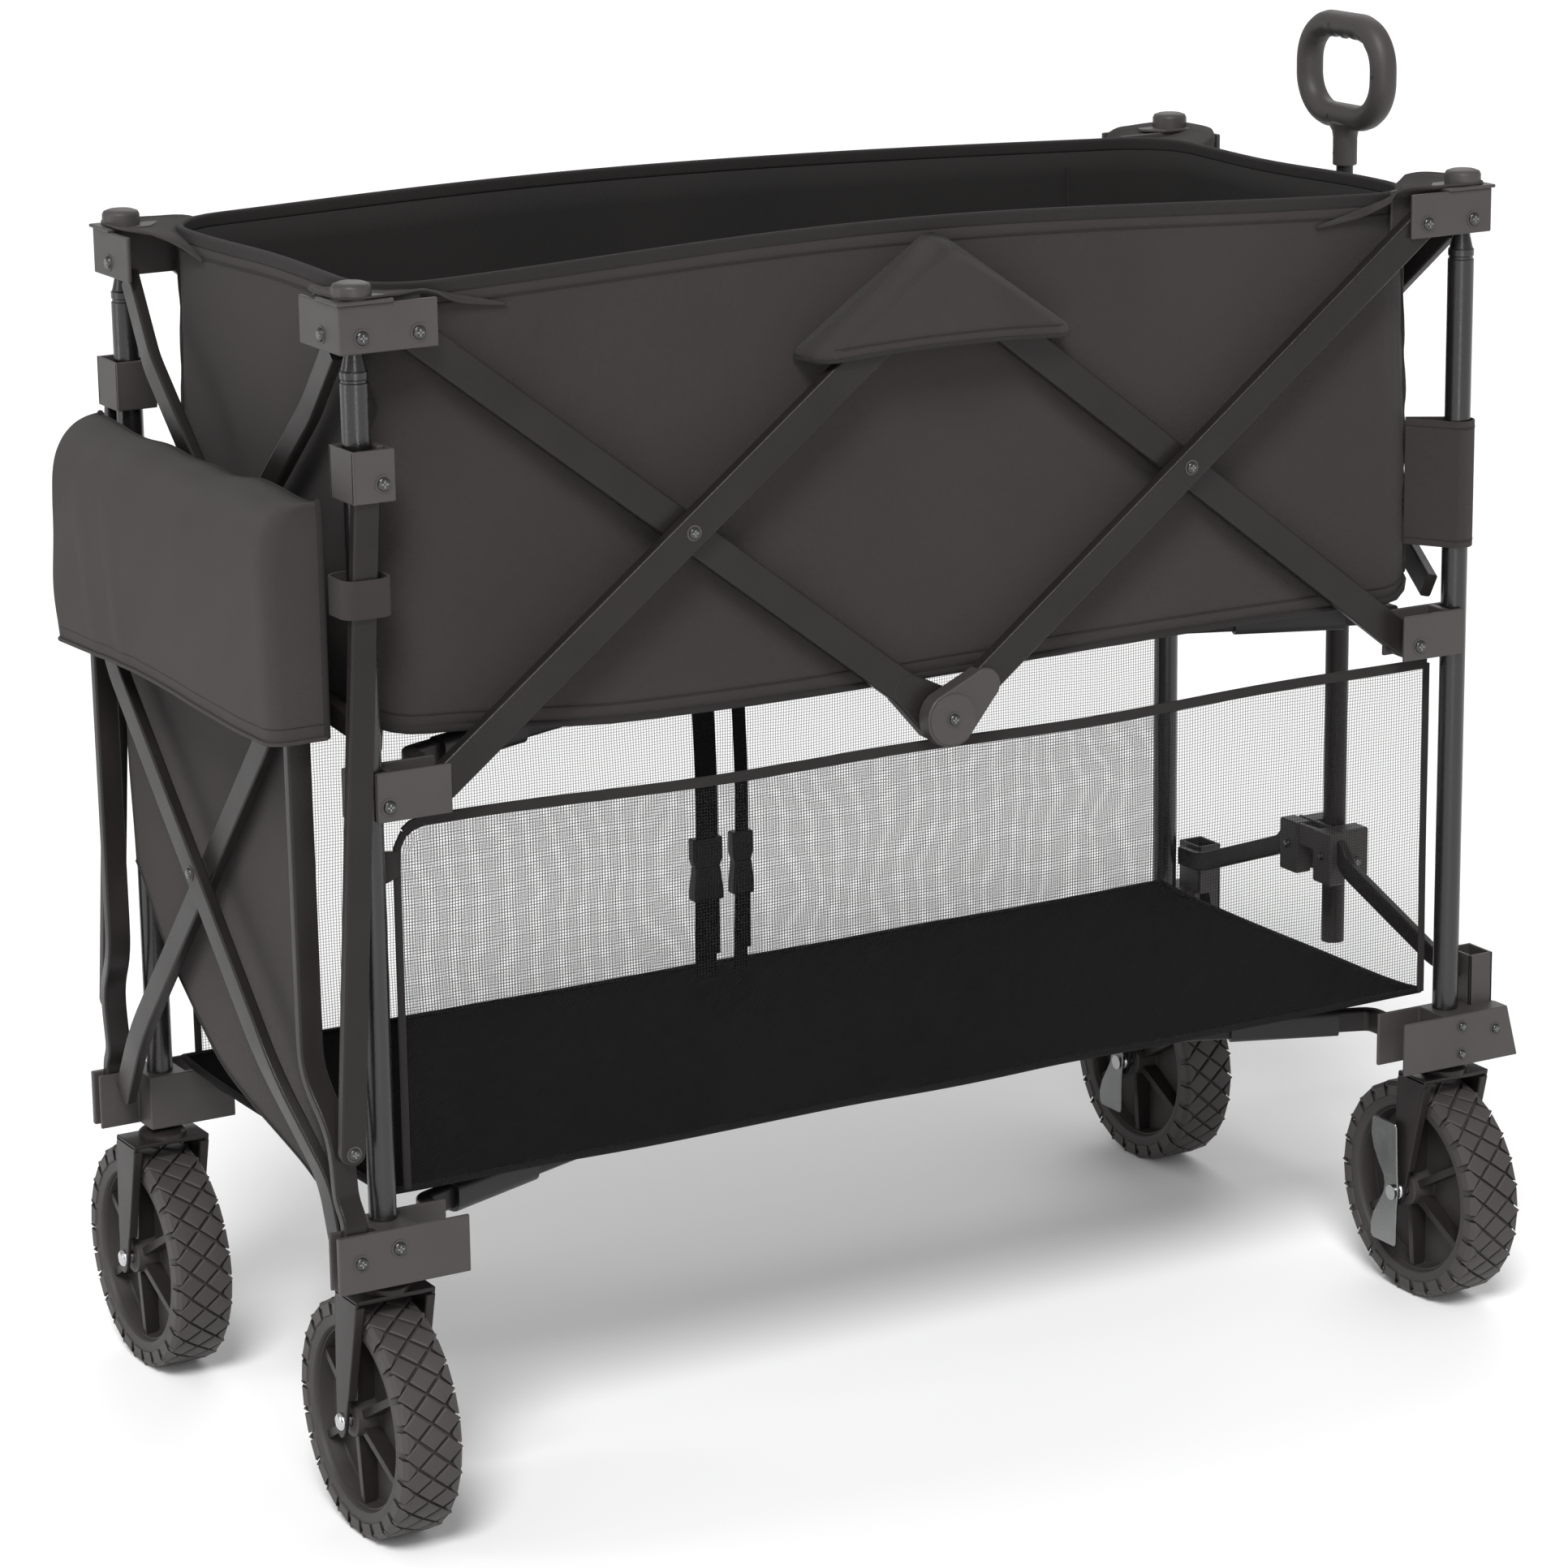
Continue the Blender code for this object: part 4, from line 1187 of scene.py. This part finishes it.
def strut(side):
    sign = SIDES[side]
    start = (-POST_X - 0.002, 0.778)
    end = (GATE_X, STRUT_FOOT_Z)
    span = sorted(sign * (POST_Y + v) for v in STRUT_LAYER)
    name = f"rear_strut_{side}"
    shape = Shape().add(prism(stadium(start, end, 0.0095, 0.0095), *span, "Y"), STEEL, 0.0017, 3)
    screw(shape, (end[0], sign * (POST_Y + STRUT_LAYER[1]), end[1]), (0, sign, 0), 0.0044)
    shape.done(f"{name}_bar", name, "frame_steel", [name])


def strap_loop(side):
    """Webbing loop round a rear strut and post, at the height of the hood."""
    sign = SIDES[side]
    low, high = 0.686, 0.713
    middle = Vector((-POST_X - 0.004, sign * (POST_Y + 0.0055), 0))
    section = oval(0.038, 0.0375, 0.011, 5)
    outer = [middle + Vector((a, b, 0)) for a, b in section]
    inner = [middle + Vector((a * 0.9, b * 0.9, 0)) for a, b in section]
    rings = []
    for ring, z in ((outer, low), (outer, high), (inner, high), (inner, low)):
        rings.append([p + Vector((0, 0, z)) for p in ring])
    shape = Shape().add(loft(rings, caps=False, loop=True), FABRIC)
    shape.done(f"strap_loop_{side}", f"rear_strut_{side}", "gate_fabric")


def gate_rail(side):
    sign = SIDES[side]
    path = [
        (GATE_X, sign * 0.2163, 0.211), (GATE_X, sign * 0.2163, 0.2505),
        (GATE_X - 0.001, sign * 0.206, 0.2645), (GATE_X - 0.004, sign * 0.206, 0.312),
        (GATE_X - 0.01, sign * 0.174, 0.352), (GATE_X - 0.012, sign * 0.174, 0.725),
    ]
    name = f"gate_rail_{side}"
    shape = Shape().add(sweep(eased(path, 0.02), oval(0.018, 0.009, 0.0018), (1, 0, 0)), STEEL)
    shape.done(f"{name}_tube", "gate", "frame_steel", [name])


def gate_cross():
    """Outer bar from the near foot and inner bar from the far foot, bolted where they cross."""
    outer = GATE_X - 0.0215
    inner = GATE_X - 0.0095
    paths = {
        "near": [
            (outer + 0.0195, -0.194, 0.232), (outer + 0.0195, -0.18, 0.27), (outer, -0.128, 0.345),
            (outer, 0.135, 0.6), (outer, 0.145, 0.725),
        ],
        "far": [
            (inner + 0.0075, 0.192, 0.232), (inner, 0.14, 0.296), (inner, -0.135, 0.6), (inner, -0.145, 0.725),
        ],
    }
    for side, path in paths.items():
        name = f"gate_cross_bar_{side}"
        shape = Shape().add(sweep(eased(path, 0.03, 6), oval(0.021, 0.009, 0.0018), (0, 1, 0)), STEEL)
        if side == "near":
            screw(shape, (outer - 0.0045, -0.009, 0.4605), (-1, 0, 0), 0.0044)
        shape.done(f"{name}_tube", "gate", "frame_steel", [name])


HOOD_HALF = 0.194
HOOD_BACK = GATE_X + 0.0028
HOOD_ROUND = 0.013
HOOD_LINING = 0.152
HOOD_SECTION = (
    (-0.0430, 0.601), (-0.0440, 0.622), (-0.0445, 0.645), (-0.0448, 0.668), (-0.0448, 0.690),
    (-0.0445, 0.710), (-0.0435, 0.726), (-0.0410, 0.7400), (-0.0360, 0.7510), (-0.0290, 0.7585),
    (-0.0210, 0.7625), (-0.0130, 0.7640), (-0.0050, 0.7630), (0.0, 0.7605),
)


def hood_point(u, v):
    """Outer face of the hood. u runs round it from the near back edge, v from the hem to the seam."""
    depth, z = along_points(HOOD_SECTION, v)
    depth = max(0.0, -depth)
    bend = min(HOOD_ROUND, depth * 0.85)
    half = HOOD_HALF - 0.004 * smoothstep((v - 0.55) / 0.45)
    side = 1 if u > 0.5 else -1
    share = 2 * abs(u - 0.5)
    if share < 0.8:
        x = -depth
        y = side * (half - bend) * share / 0.8
    elif share < 0.9:
        turn = math.pi / 2 * (share - 0.8) / 0.1
        x = -depth + bend * (1 - math.cos(turn))
        y = side * (half - bend + bend * math.sin(turn))
    else:
        x = (-depth + bend) * (1 - share) / 0.1
        y = side * half
    free = min(1.0, (1 - v) * 3.5) * min(1.0, (1 - share) * 12) * min(1.0, 0.3 + 4 * v)
    soft = 0.0034 * noise.noise(Vector((y * 8, z * 8, 2.0)))
    fold = 0.0020 * noise.noise(Vector((y * 26 + z * 20, z * 10 - y * 6, 3.1)))
    for start in (0.140, 0.090):
        away = (y - start + 0.05 * (0.6 - v)) / 0.011
        fold += 0.0028 * math.exp(-away * away) * smoothstep((0.6 - v) / 0.4)
    sag = 0.003 * math.sin(y * 15 + 1) * (1 - v) ** 3
    crest = 0.0045 * noise.noise(Vector((y * 19, 0.7, 1.3))) * v ** 2
    return Vector((HOOD_BACK + x - max(-0.004, soft + fold) * free, y, z + sag + crest))


def gate_hood():
    """Hood of cloth over the top of the gate."""
    # The hood uses the lighter gate cloth: painted light on the rear-facing cloth.
    shape = Shape().add(grid(150, 52, hood_point, (0.53, 0.25)), LIT_GATE_CLOTH)

    def back_point(u, v):
        along = u if u in (0.0, 1.0) else 0.1 + 0.8 * u
        top = hood_point(along, 1.0).z
        return Vector((HOOD_BACK, (2 * u - 1) * (HOOD_HALF - 0.004), top - HOOD_LINING * v))

    shape.add(grid(60, 14, back_point, (0.38, HOOD_LINING)), LIT_GATE_CLOTH)
    shape.done("gate_hood_cloth", "gate", "gate_fabric", ["gate_hood"], thickness=0.0018)
    trim = Shape()
    hem = [hood_point(k / 150, 0.0) for k in range(151)]
    trim.add(sweep(hem, oval(0.0026, 0.0052, 0.0010), (0, 0, 1)), LIT_GATE_CLOTH)
    stitch = [hood_point(k / 150, 0.042) for k in range(151)]
    trim.add(sweep(stitch, circle(0.0011, 6), (0, 0, 1)), BINDING)
    seam = [hood_point(0.0, k / 20) for k in range(20)]
    seam += [hood_point(0.1 + 0.8 * k / 100, 1.0) for k in range(101)]
    seam += [hood_point(1.0, 1 - k / 20) for k in range(1, 21)]
    trim.add(sweep(seam, circle(0.0027, 10), (1, 0.2, 0.1)), BINDING)
    trim.done("gate_hood_trim", "gate", "gate_fabric")


PANEL_HALF = 0.163
PANEL_TOP = 0.612
PANEL_HEM = ((0.252,), (0.266,), (0.277,), (0.288,), (0.304,), (0.335,), (0.372,), (0.425,))
PANEL_FLAT = (0.326, 0.36)


def gate_panel():
    """Cloth behind the gate's cross. Its lower edge hangs in a curve."""

    def point(u, v):
        y = (2 * u - 1) * PANEL_HALF
        bottom = along_points(PANEL_HEM, u)[0]
        z = bottom + (PANEL_TOP - bottom) * v
        lean = 0.007 - 0.0062 * (z - PANEL_HEM[0][0]) / (PANEL_TOP - PANEL_HEM[0][0])
        wave = 0.0018 * noise.noise(Vector((y * 11, z * 9, 5.0))) * math.sin(math.pi * v)
        return Vector((GATE_X + lean + wave, y, z))

    cloth = Shape().add(grid(40, 40, point, PANEL_FLAT), LIT_GATE_CLOTH)
    made = cloth.done("gate_panel_cloth", "gate", "gate_fabric", ["gate_panel"], thickness=0.0014)
    trim = Shape()
    path = [point(k / 40, 0.0) for k in range(41)]
    trim.add(sweep(path, circle(0.0016, 8), (1, 0, 0)), BINDING)
    edge = trim.done("gate_panel_edge", "gate", "gate_fabric")


for side in SIDES:
    slider(side)
    strut(side)
    strap_loop(side)
    gate_rail(side)
gate_cross()
gate_hood()
gate_panel()


# Pull handle
SPREADER_X = POST_X + 0.0152
SPREADER_DEPTH = 0.008
BLOCK_BACK = SPREADER_X + SPREADER_DEPTH / 2 + 0.0004
BLOCK_PLATE = 0.004
HANDLE_X = BLOCK_BACK + BLOCK_PLATE + 0.0012 + 0.0095
GRIP_LOW = 0.893
INNER_FOOT = 0.43
OUTER_TOP = 0.86


def handle_spreader():
    """Bent bar between the two towers, which carries the handle's block."""
    reach = POST_Y - 0.004
    half = [(reach, 0.273), (reach - 0.03, 0.2735), (0.045, 0.319), (0.034, 0.335)]
    path = [(SPREADER_X, -y, z) for y, z in half] + [(SPREADER_X, y, z) for y, z in reversed(half)]
    shape = Shape().add(sweep(eased(path, 0.012), oval(0.016, SPREADER_DEPTH, 0.002), (0, 0, 1)), STEEL)
    shape.done("handle_spreader_bar", "front_frame", "frame_steel", ["handle_spreader"])


def handle_block():
    """Clevis block that holds the foot of the handle."""
    front = HANDLE_X + 0.013
    shape = Shape()
    plate_end = (BLOCK_BACK + BLOCK_PLATE, 0.031, 0.3465)
    shape.add(box((BLOCK_BACK, -0.031, 0.332), plate_end), PLASTIC, 0.0012)
    rear = SPREADER_X - SPREADER_DEPTH / 2 - 0.005
    saddle_end = (rear + 0.0045, 0.030, 0.3455)
    shape.add(box((rear, -0.030, 0.3275), saddle_end), PLASTIC, 0.001)
    for side in SIDES.values():
        span = sorted((side * 0.0112, side * 0.036))
        shape.add(box((rear - 0.002, span[0], 0.302), (BLOCK_BACK, span[1], 0.346)), PLASTIC, 0.002, 3)
        span = sorted((side * 0.0112, side * 0.0305))
        shape.add(box((BLOCK_BACK, span[0], 0.304), (front, span[1], 0.346)), PLASTIC, 0.002, 3)
        screw(shape, (HANDLE_X, side * 0.0305, 0.318), (0, side, 0))
        screw(shape, (rear - 0.002, side * 0.024, 0.326), (-1, 0, 0), 0.0036)
    shape.done("handle_block_shell", "front_frame", "moulded_plastic", ["handle_block"])


def outer_tube():
    """Lower tube of the handle, which the inner tube slides in."""
    profile = [
        (0.0074, INNER_FOOT), (0.0074, OUTER_TOP), (0.0095, OUTER_TOP), (0.0095, 0.243), (0.006, 0.243),
        (0.0002, 0.2435), (0.0002, INNER_FOOT),
    ]
    shape = Shape().add(turned(profile, 36, "Z", (HANDLE_X, 0, 0), ring=True), STEEL)
    collar = [(0.0075, 0.838), (0.0118, 0.838), (0.0118, 0.862), (0.0105, 0.8632), (0.0075, 0.8632)]
    shape.add(turned(collar, 36, "Z", (HANDLE_X, 0, 0), ring=True), PLASTIC)
    shape.done("handle_tube", "handle", "frame_steel", ["handle_outer_tube"])


def grip():
    """Inner tube and looped grip."""
    shape = Shape()
    tube = [(0.0066, INNER_FOOT), (0.0068, 0.431), (0.0068, GRIP_LOW + 0.002)]
    shape.add(turned(tube, 32, "Z", (HANDLE_X, 0, 0)), DARK_PLASTIC)
    half_y = 0.0495
    half_z = 0.0365
    corner = 0.032
    centre = Vector((HANDLE_X, 0, GRIP_LOW + 0.039 + half_z))
    stem = [
        (0.0092, GRIP_LOW), (0.0098, GRIP_LOW + 0.0006), (0.0098, GRIP_LOW + 0.022),
        (0.0106, GRIP_LOW + 0.027), (0.0130, GRIP_LOW + 0.031), (0.0150, GRIP_LOW + 0.0335),
        (0.0100, GRIP_LOW + 0.040),
    ]
    neck = turned(stem, 36, "Z", (0, 0, 0))
    for vertex in neck.verts:
        spread = max(0.0, (vertex.co.z - GRIP_LOW - 0.022) / 0.012)
        vertex.co.x *= 1 - 0.22 * min(1.0, spread)
        vertex.co.y *= 1 + 0.35 * min(1.0, spread)
    bmesh.ops.translate(neck, vec=(HANDLE_X, 0, 0), verts=neck.verts)
    shape.add(neck, PLASTIC)
    rings = []
    count = 96
    for k in range(count):
        flat, out = rectangle_at(k / count, half_z, half_y, corner)
        place = Vector((0, flat.y, flat.x))
        away = Vector((0, out.y, out.x))
        top = smoothstep((place.z - 0.022) / 0.01)
        finger = 0.0013 * math.cos(place.y * 2 * math.pi / 0.014) * top
        ring = []
        for m in range(16):
            t = 2 * math.pi * m / 16
            inward = max(0.0, -math.cos(t))
            reach = (0.0102 + finger * inward) * math.cos(t)
            ring.append(centre + place + away * reach + Vector((0.0112 * math.sin(t), 0, 0)))
        rings.append(ring)
    shape.add(loft(rings, loop=True), PLASTIC)
    for y, z in ((-0.0495, 0.0), (0.010, 0.0365), (0.010, -0.0365), (0.002, -0.066)):
        spot = centre + Vector((-0.0108 if z > -0.05 else -0.0092, y, z))
        shape.add(turned([(0.0016, -0.0004), (0.0016, 0.0004)], 12, "X", spot), DARK_PLASTIC)
    shape.done("grip_and_stem", "grip", "grip_plastic", ["grip_and_inner_tube"])


handle_spreader()
handle_block()
outer_tube()
grip()


# Casters
FORK_OUT = 0.0315
FORK_IN = 0.0285
FORK_TOP = 0.1905
TREADS = 26
RIBS = 6


def diamond(centre_x, turn, half_x, half_turn, base, top):
    """Tread lug: a raised diamond that follows the tyre's curve, round the X axis."""
    bm = bmesh.new()
    rings = []
    for radius, share in ((base, 1.0), (top - 0.0008, 0.93), (top, 0.74)):
        ring = []
        for a, b in ((1, 0), (0, 1), (-1, 0), (0, -1)):
            angle = turn + b * half_turn * share
            x = centre_x + a * half_x * share
            ring.append(bm.verts.new((x, radius * math.cos(angle), radius * math.sin(angle))))
        rings.append(ring)
    for first, second in zip(rings, rings[1:]):
        for k in range(4):
            j = (k + 1) % 4
            bm.faces.new((first[k], first[j], second[j], second[k]))
    bm.faces.new(rings[-1])
    bm.faces.new(rings[0])
    return closed(bm)


def shoulder(side, turn, half_turn, top):
    """Tread lug that wraps over the edge of the tyre, pointed towards the middle."""
    bm = bmesh.new()
    rings = []
    section = (
        (0.0150, top), (0.0205, top), (0.0234, top - 0.0035), (0.0236, top - 0.0115), (0.0212, top - 0.0125),
        (0.0206, top - 0.0125), (0.0150, top - 0.0045),
    )
    for share in (-1, 1):
        ring = []
        for x, radius in section:
            spread = 0.12 if x < 0.016 else 1.0
            angle = turn + share * half_turn * spread
            ring.append(bm.verts.new((side * x, radius * math.cos(angle), radius * math.sin(angle))))
        rings.append(ring)
    count = len(rings[0])
    for k in range(count):
        j = (k + 1) % count
        bm.faces.new((rings[0][k], rings[0][j], rings[1][j], rings[1][k]))
    bm.faces.new(rings[0])
    bm.faces.new(rings[1])
    return closed(bm)


def wheel(end, side):
    hub = Vector((ENDS[end] * POST_X, SIDES[side] * POST_Y + TRAIL, WHEEL_R))
    half = WHEEL_HALF
    name = f"{end}_wheel_{side}"
    shape = Shape()
    base = WHEEL_R - 0.0038
    left = [
        (0.0665, -0.008), (0.0672, -half + 0.004), (0.069, -half + 0.0012), (0.0725, -half),
        (0.080, -half + 0.0002), (0.0835, -half + 0.0015), (base - 0.0002, -half + 0.0055),
        (base, -half + 0.009),
    ]
    profile = left + [(r, -h) for r, h in reversed(left)]
    shape.add(turned(profile, 72, "X", (0, 0, 0), ring=True), TYRE)
    step = 2 * math.pi / TREADS
    for k in range(TREADS):
        for column, x in enumerate((-0.0122, 0.0, 0.0122)):
            turn = step * (k + 0.5 * (column % 2))
            shape.add(diamond(x, turn, 0.0112, step * 0.46, base - 0.001, WHEEL_R), TYRE)
        for flip in (-1, 1):
            shape.add(shoulder(flip, step * (k + 0.5), step * 0.36, WHEEL_R - 0.0006), TYRE)
    disc = [
        (0.0052, -0.0245), (0.0115, -0.0245), (0.0128, -0.0235), (0.0140, -0.0070), (0.0165, -0.0055),
        (0.0640, -0.0055), (0.0655, -0.0075), (0.0663, -0.0178), (0.0676, -0.0178),
    ]
    body = disc + [(r, -h) for r, h in reversed(disc)]
    shape.add(turned(body, 72, "X", (0, 0, 0), ring=True), WHEEL_PLASTIC)
    for k in range(RIBS):
        angle = 2 * math.pi * (k + 0.5) / RIBS
        for flip in (-1, 1):
            outline = [
                (0.0118, flip * 0.0052), (0.0118, flip * 0.0195), (0.0668, flip * 0.0165),
                (0.0668, flip * 0.0052),
            ]
            rib = prism(outline, -0.0031, 0.0031, "Y")
            bmesh.ops.rotate(rib, matrix=Matrix(((0, 0, 1), (1, 0, 0), (0, 1, 0))), verts=rib.verts)
            rounded_edges(rib, 0.0006, 2)
            bmesh.ops.rotate(rib, matrix=Matrix.Rotation(angle, 3, "X"), verts=rib.verts)
            # The ribs take the darker frame steel, not the wheel plastic: painted shade for their dark sides.
            shape.add(rib, STEEL)
    bmesh.ops.translate(shape.bm, vec=hub, verts=shape.bm.verts)
    shape.done(f"{name}_tyre", name, "wheel", [name], angle=38)


def slanted(part, y):
    """Leans and tapers a fork part from its crown down to the axle."""
    for vertex in part.verts:
        down = (FORK_TOP - vertex.co.z) / (FORK_TOP - WHEEL_R)
        centre = y + TRAIL * down
        vertex.co.y = centre + (vertex.co.y - y) * (1.5 - 0.85 * min(down, 1))
    return part


def fork(end, side):
    """Fork with its kingpin, axle and rivets."""
    x = ENDS[end] * POST_X
    y = SIDES[side] * POST_Y
    name = f"{end}_fork_{side}"
    shape = Shape()
    crown = box((x - FORK_OUT, y - 0.012, FORK_TOP - 0.004), (x + FORK_OUT, y + 0.012, FORK_TOP))
    shape.add(slanted(crown, y), STEEL, 0.001)
    for flip in (-1, 1):
        span = sorted((x + flip * FORK_IN, x + flip * FORK_OUT))
        outline = [(y - 0.012, FORK_TOP - 0.001), (y + 0.012, FORK_TOP - 0.001)]
        for k in range(9):
            t = math.pi * k / 8
            outline.append((y + 0.0115 * math.cos(t), WHEEL_R - 0.011 * math.sin(t) - 0.002))
        shape.add(slanted(prism(outline, *span, "X"), y), STEEL, 0.0008)
        for edge in (-1, 1):
            lip_x = x + flip * (FORK_OUT - 0.0035)
            lip_y = y + edge * 0.0115
            spine = [(lip_x, lip_y, FORK_TOP - 0.006), (lip_x, lip_y, WHEEL_R + 0.02)]
            lip = sweep(spine, oval(0.007, 0.0022, 0.0008, 2), (1, 0, 0))
            shape.add(slanted(lip, y), STEEL)
    pin = [
        (0.0185, FORK_TOP - 0.0005), (0.0185, FORK_TOP + 0.0035), (0.015, FORK_TOP + 0.0062),
        (0.0085, FORK_TOP + 0.0068), (0.0085, LOW_Z[0] - 0.0004),
    ]
    shape.add(turned(pin, 32, "Z", (x, y, 0)), STEEL)
    hub = (x, y + TRAIL, WHEEL_R)
    axle = [(0.0045, -FORK_OUT - 0.001), (0.0045, FORK_OUT + 0.001)]
    shape.add(turned(axle, 24, "X", hub), BRIGHT)
    for flip in (-1, 1):
        rivet = [(0.0066, 0), (0.0066, 0.0012), (0.0052, 0.0026), (0.0022, 0.0032)]
        head = turned(rivet, 24, "X")
        if flip < 0:
            mirrored(head, 0)
        bmesh.ops.translate(head, vec=(hub[0] + flip * FORK_OUT, hub[1], hub[2]), verts=head.verts)
        shape.add(head, BRIGHT)
    shape.done(f"{name}_steel", name, "frame_steel", [name])


def brake_lever(side):
    """Pedal plate on the axle of a handle-end caster."""
    hub = Vector((POST_X, SIDES[side] * POST_Y + TRAIL, WHEEL_R))
    lever_x = POST_X - FORK_OUT - 0.0036
    lobes = [
        (-0.0060, -0.006), (-0.0050, -0.014), (-0.0045, -0.043), (-0.0030, -0.046), (0.0255, -0.046),
        (0.0285, -0.043), (0.0290, -0.034), (0.0255, -0.024), (0.0180, -0.012), (0.0125, -0.003),
        (0.0110, 0.004), (0.0125, 0.011), (0.0195, 0.020), (0.0265, 0.031), (0.0300, 0.042),
        (0.0290, 0.055), (0.0260, 0.058), (-0.0015, 0.058), (-0.0035, 0.055), (-0.0055, 0.016),
        (-0.0068, 0.004),
    ]
    spot = [(hub.y + a, hub.z + b) for a, b in lobes]
    name = f"brake_lever_{side}"
    shape = Shape().add(prism(spot, lever_x - 0.0022, lever_x, "X"), LEVER_STEEL, 0.0009, 3)
    boss = [(0.0062, -0.0032), (0.0062, 0.0008)]
    shape.add(turned(boss, 24, "X", (lever_x - 0.0012, hub.y, hub.z)), BRIGHT)
    shape.done(f"{name}_plate", name, "brake_steel", [name])


for end in ENDS:
    for side in SIDES:
        wheel(end, side)
        fork(end, side)
for side in SIDES:
    brake_lever(side)


# Webbing straps with side-release buckles, from the basket floor to the deck
STRAP_Z = (0.256, 0.584)
STRAPS = {"wide": (-0.012, 0.147, 0.020), "narrow": (0.022, 0.150, 0.012)}
BUCKLE_Z = 0.345


def tie_strap(name):
    """Webbing with a buckle in two halves."""
    x, y, width = STRAPS[name]
    shape = Shape()
    path = []
    for k in range(25):
        t = k / 24
        level = STRAP_Z[0] + (STRAP_Z[1] - STRAP_Z[0]) * t
        path.append((x + 0.0015 * math.sin(5 * t), y + 0.002 * math.sin(7 * t + 1), level))
    shape.add(sweep(path, oval(width, 0.0016, 0.0006, 2), (1, 0, 0)), WEBBING)
    tail = [(x + 0.001, y - 0.004, BUCKLE_Z - 0.02 - 0.006 * k) for k in range(9)]
    shape.add(sweep(tail, oval(width * 0.95, 0.0014, 0.0005, 2), (1, 0, 0)), WEBBING)
    half = width / 2 + 0.0035
    low_half = ((half, -0.022), (half, -0.014), (half * 0.8, 0.006))
    low = [(x + a, BUCKLE_Z + b) for a, b in low_half] + [(x - a, BUCKLE_Z + b) for a, b in reversed(low_half)]
    shape.add(prism(low, y - 0.0065, y + 0.0045, "Y"), DARK_PLASTIC, 0.0014, 3)
    high_half = ((half * 0.7, 0.002), (half, 0.012), (half, 0.03))
    high = [(x + a, BUCKLE_Z + b) for a, b in high_half] + [(x - a, BUCKLE_Z + b) for a, b in reversed(high_half)]
    shape.add(prism(high, y - 0.0055, y + 0.0038, "Y"), DARK_PLASTIC, 0.0014, 3)
    shape.done(f"tie_strap_{name}", "rear_frame", "deck_fabric", squashes=True)


for name in STRAPS:
    tie_strap(name)
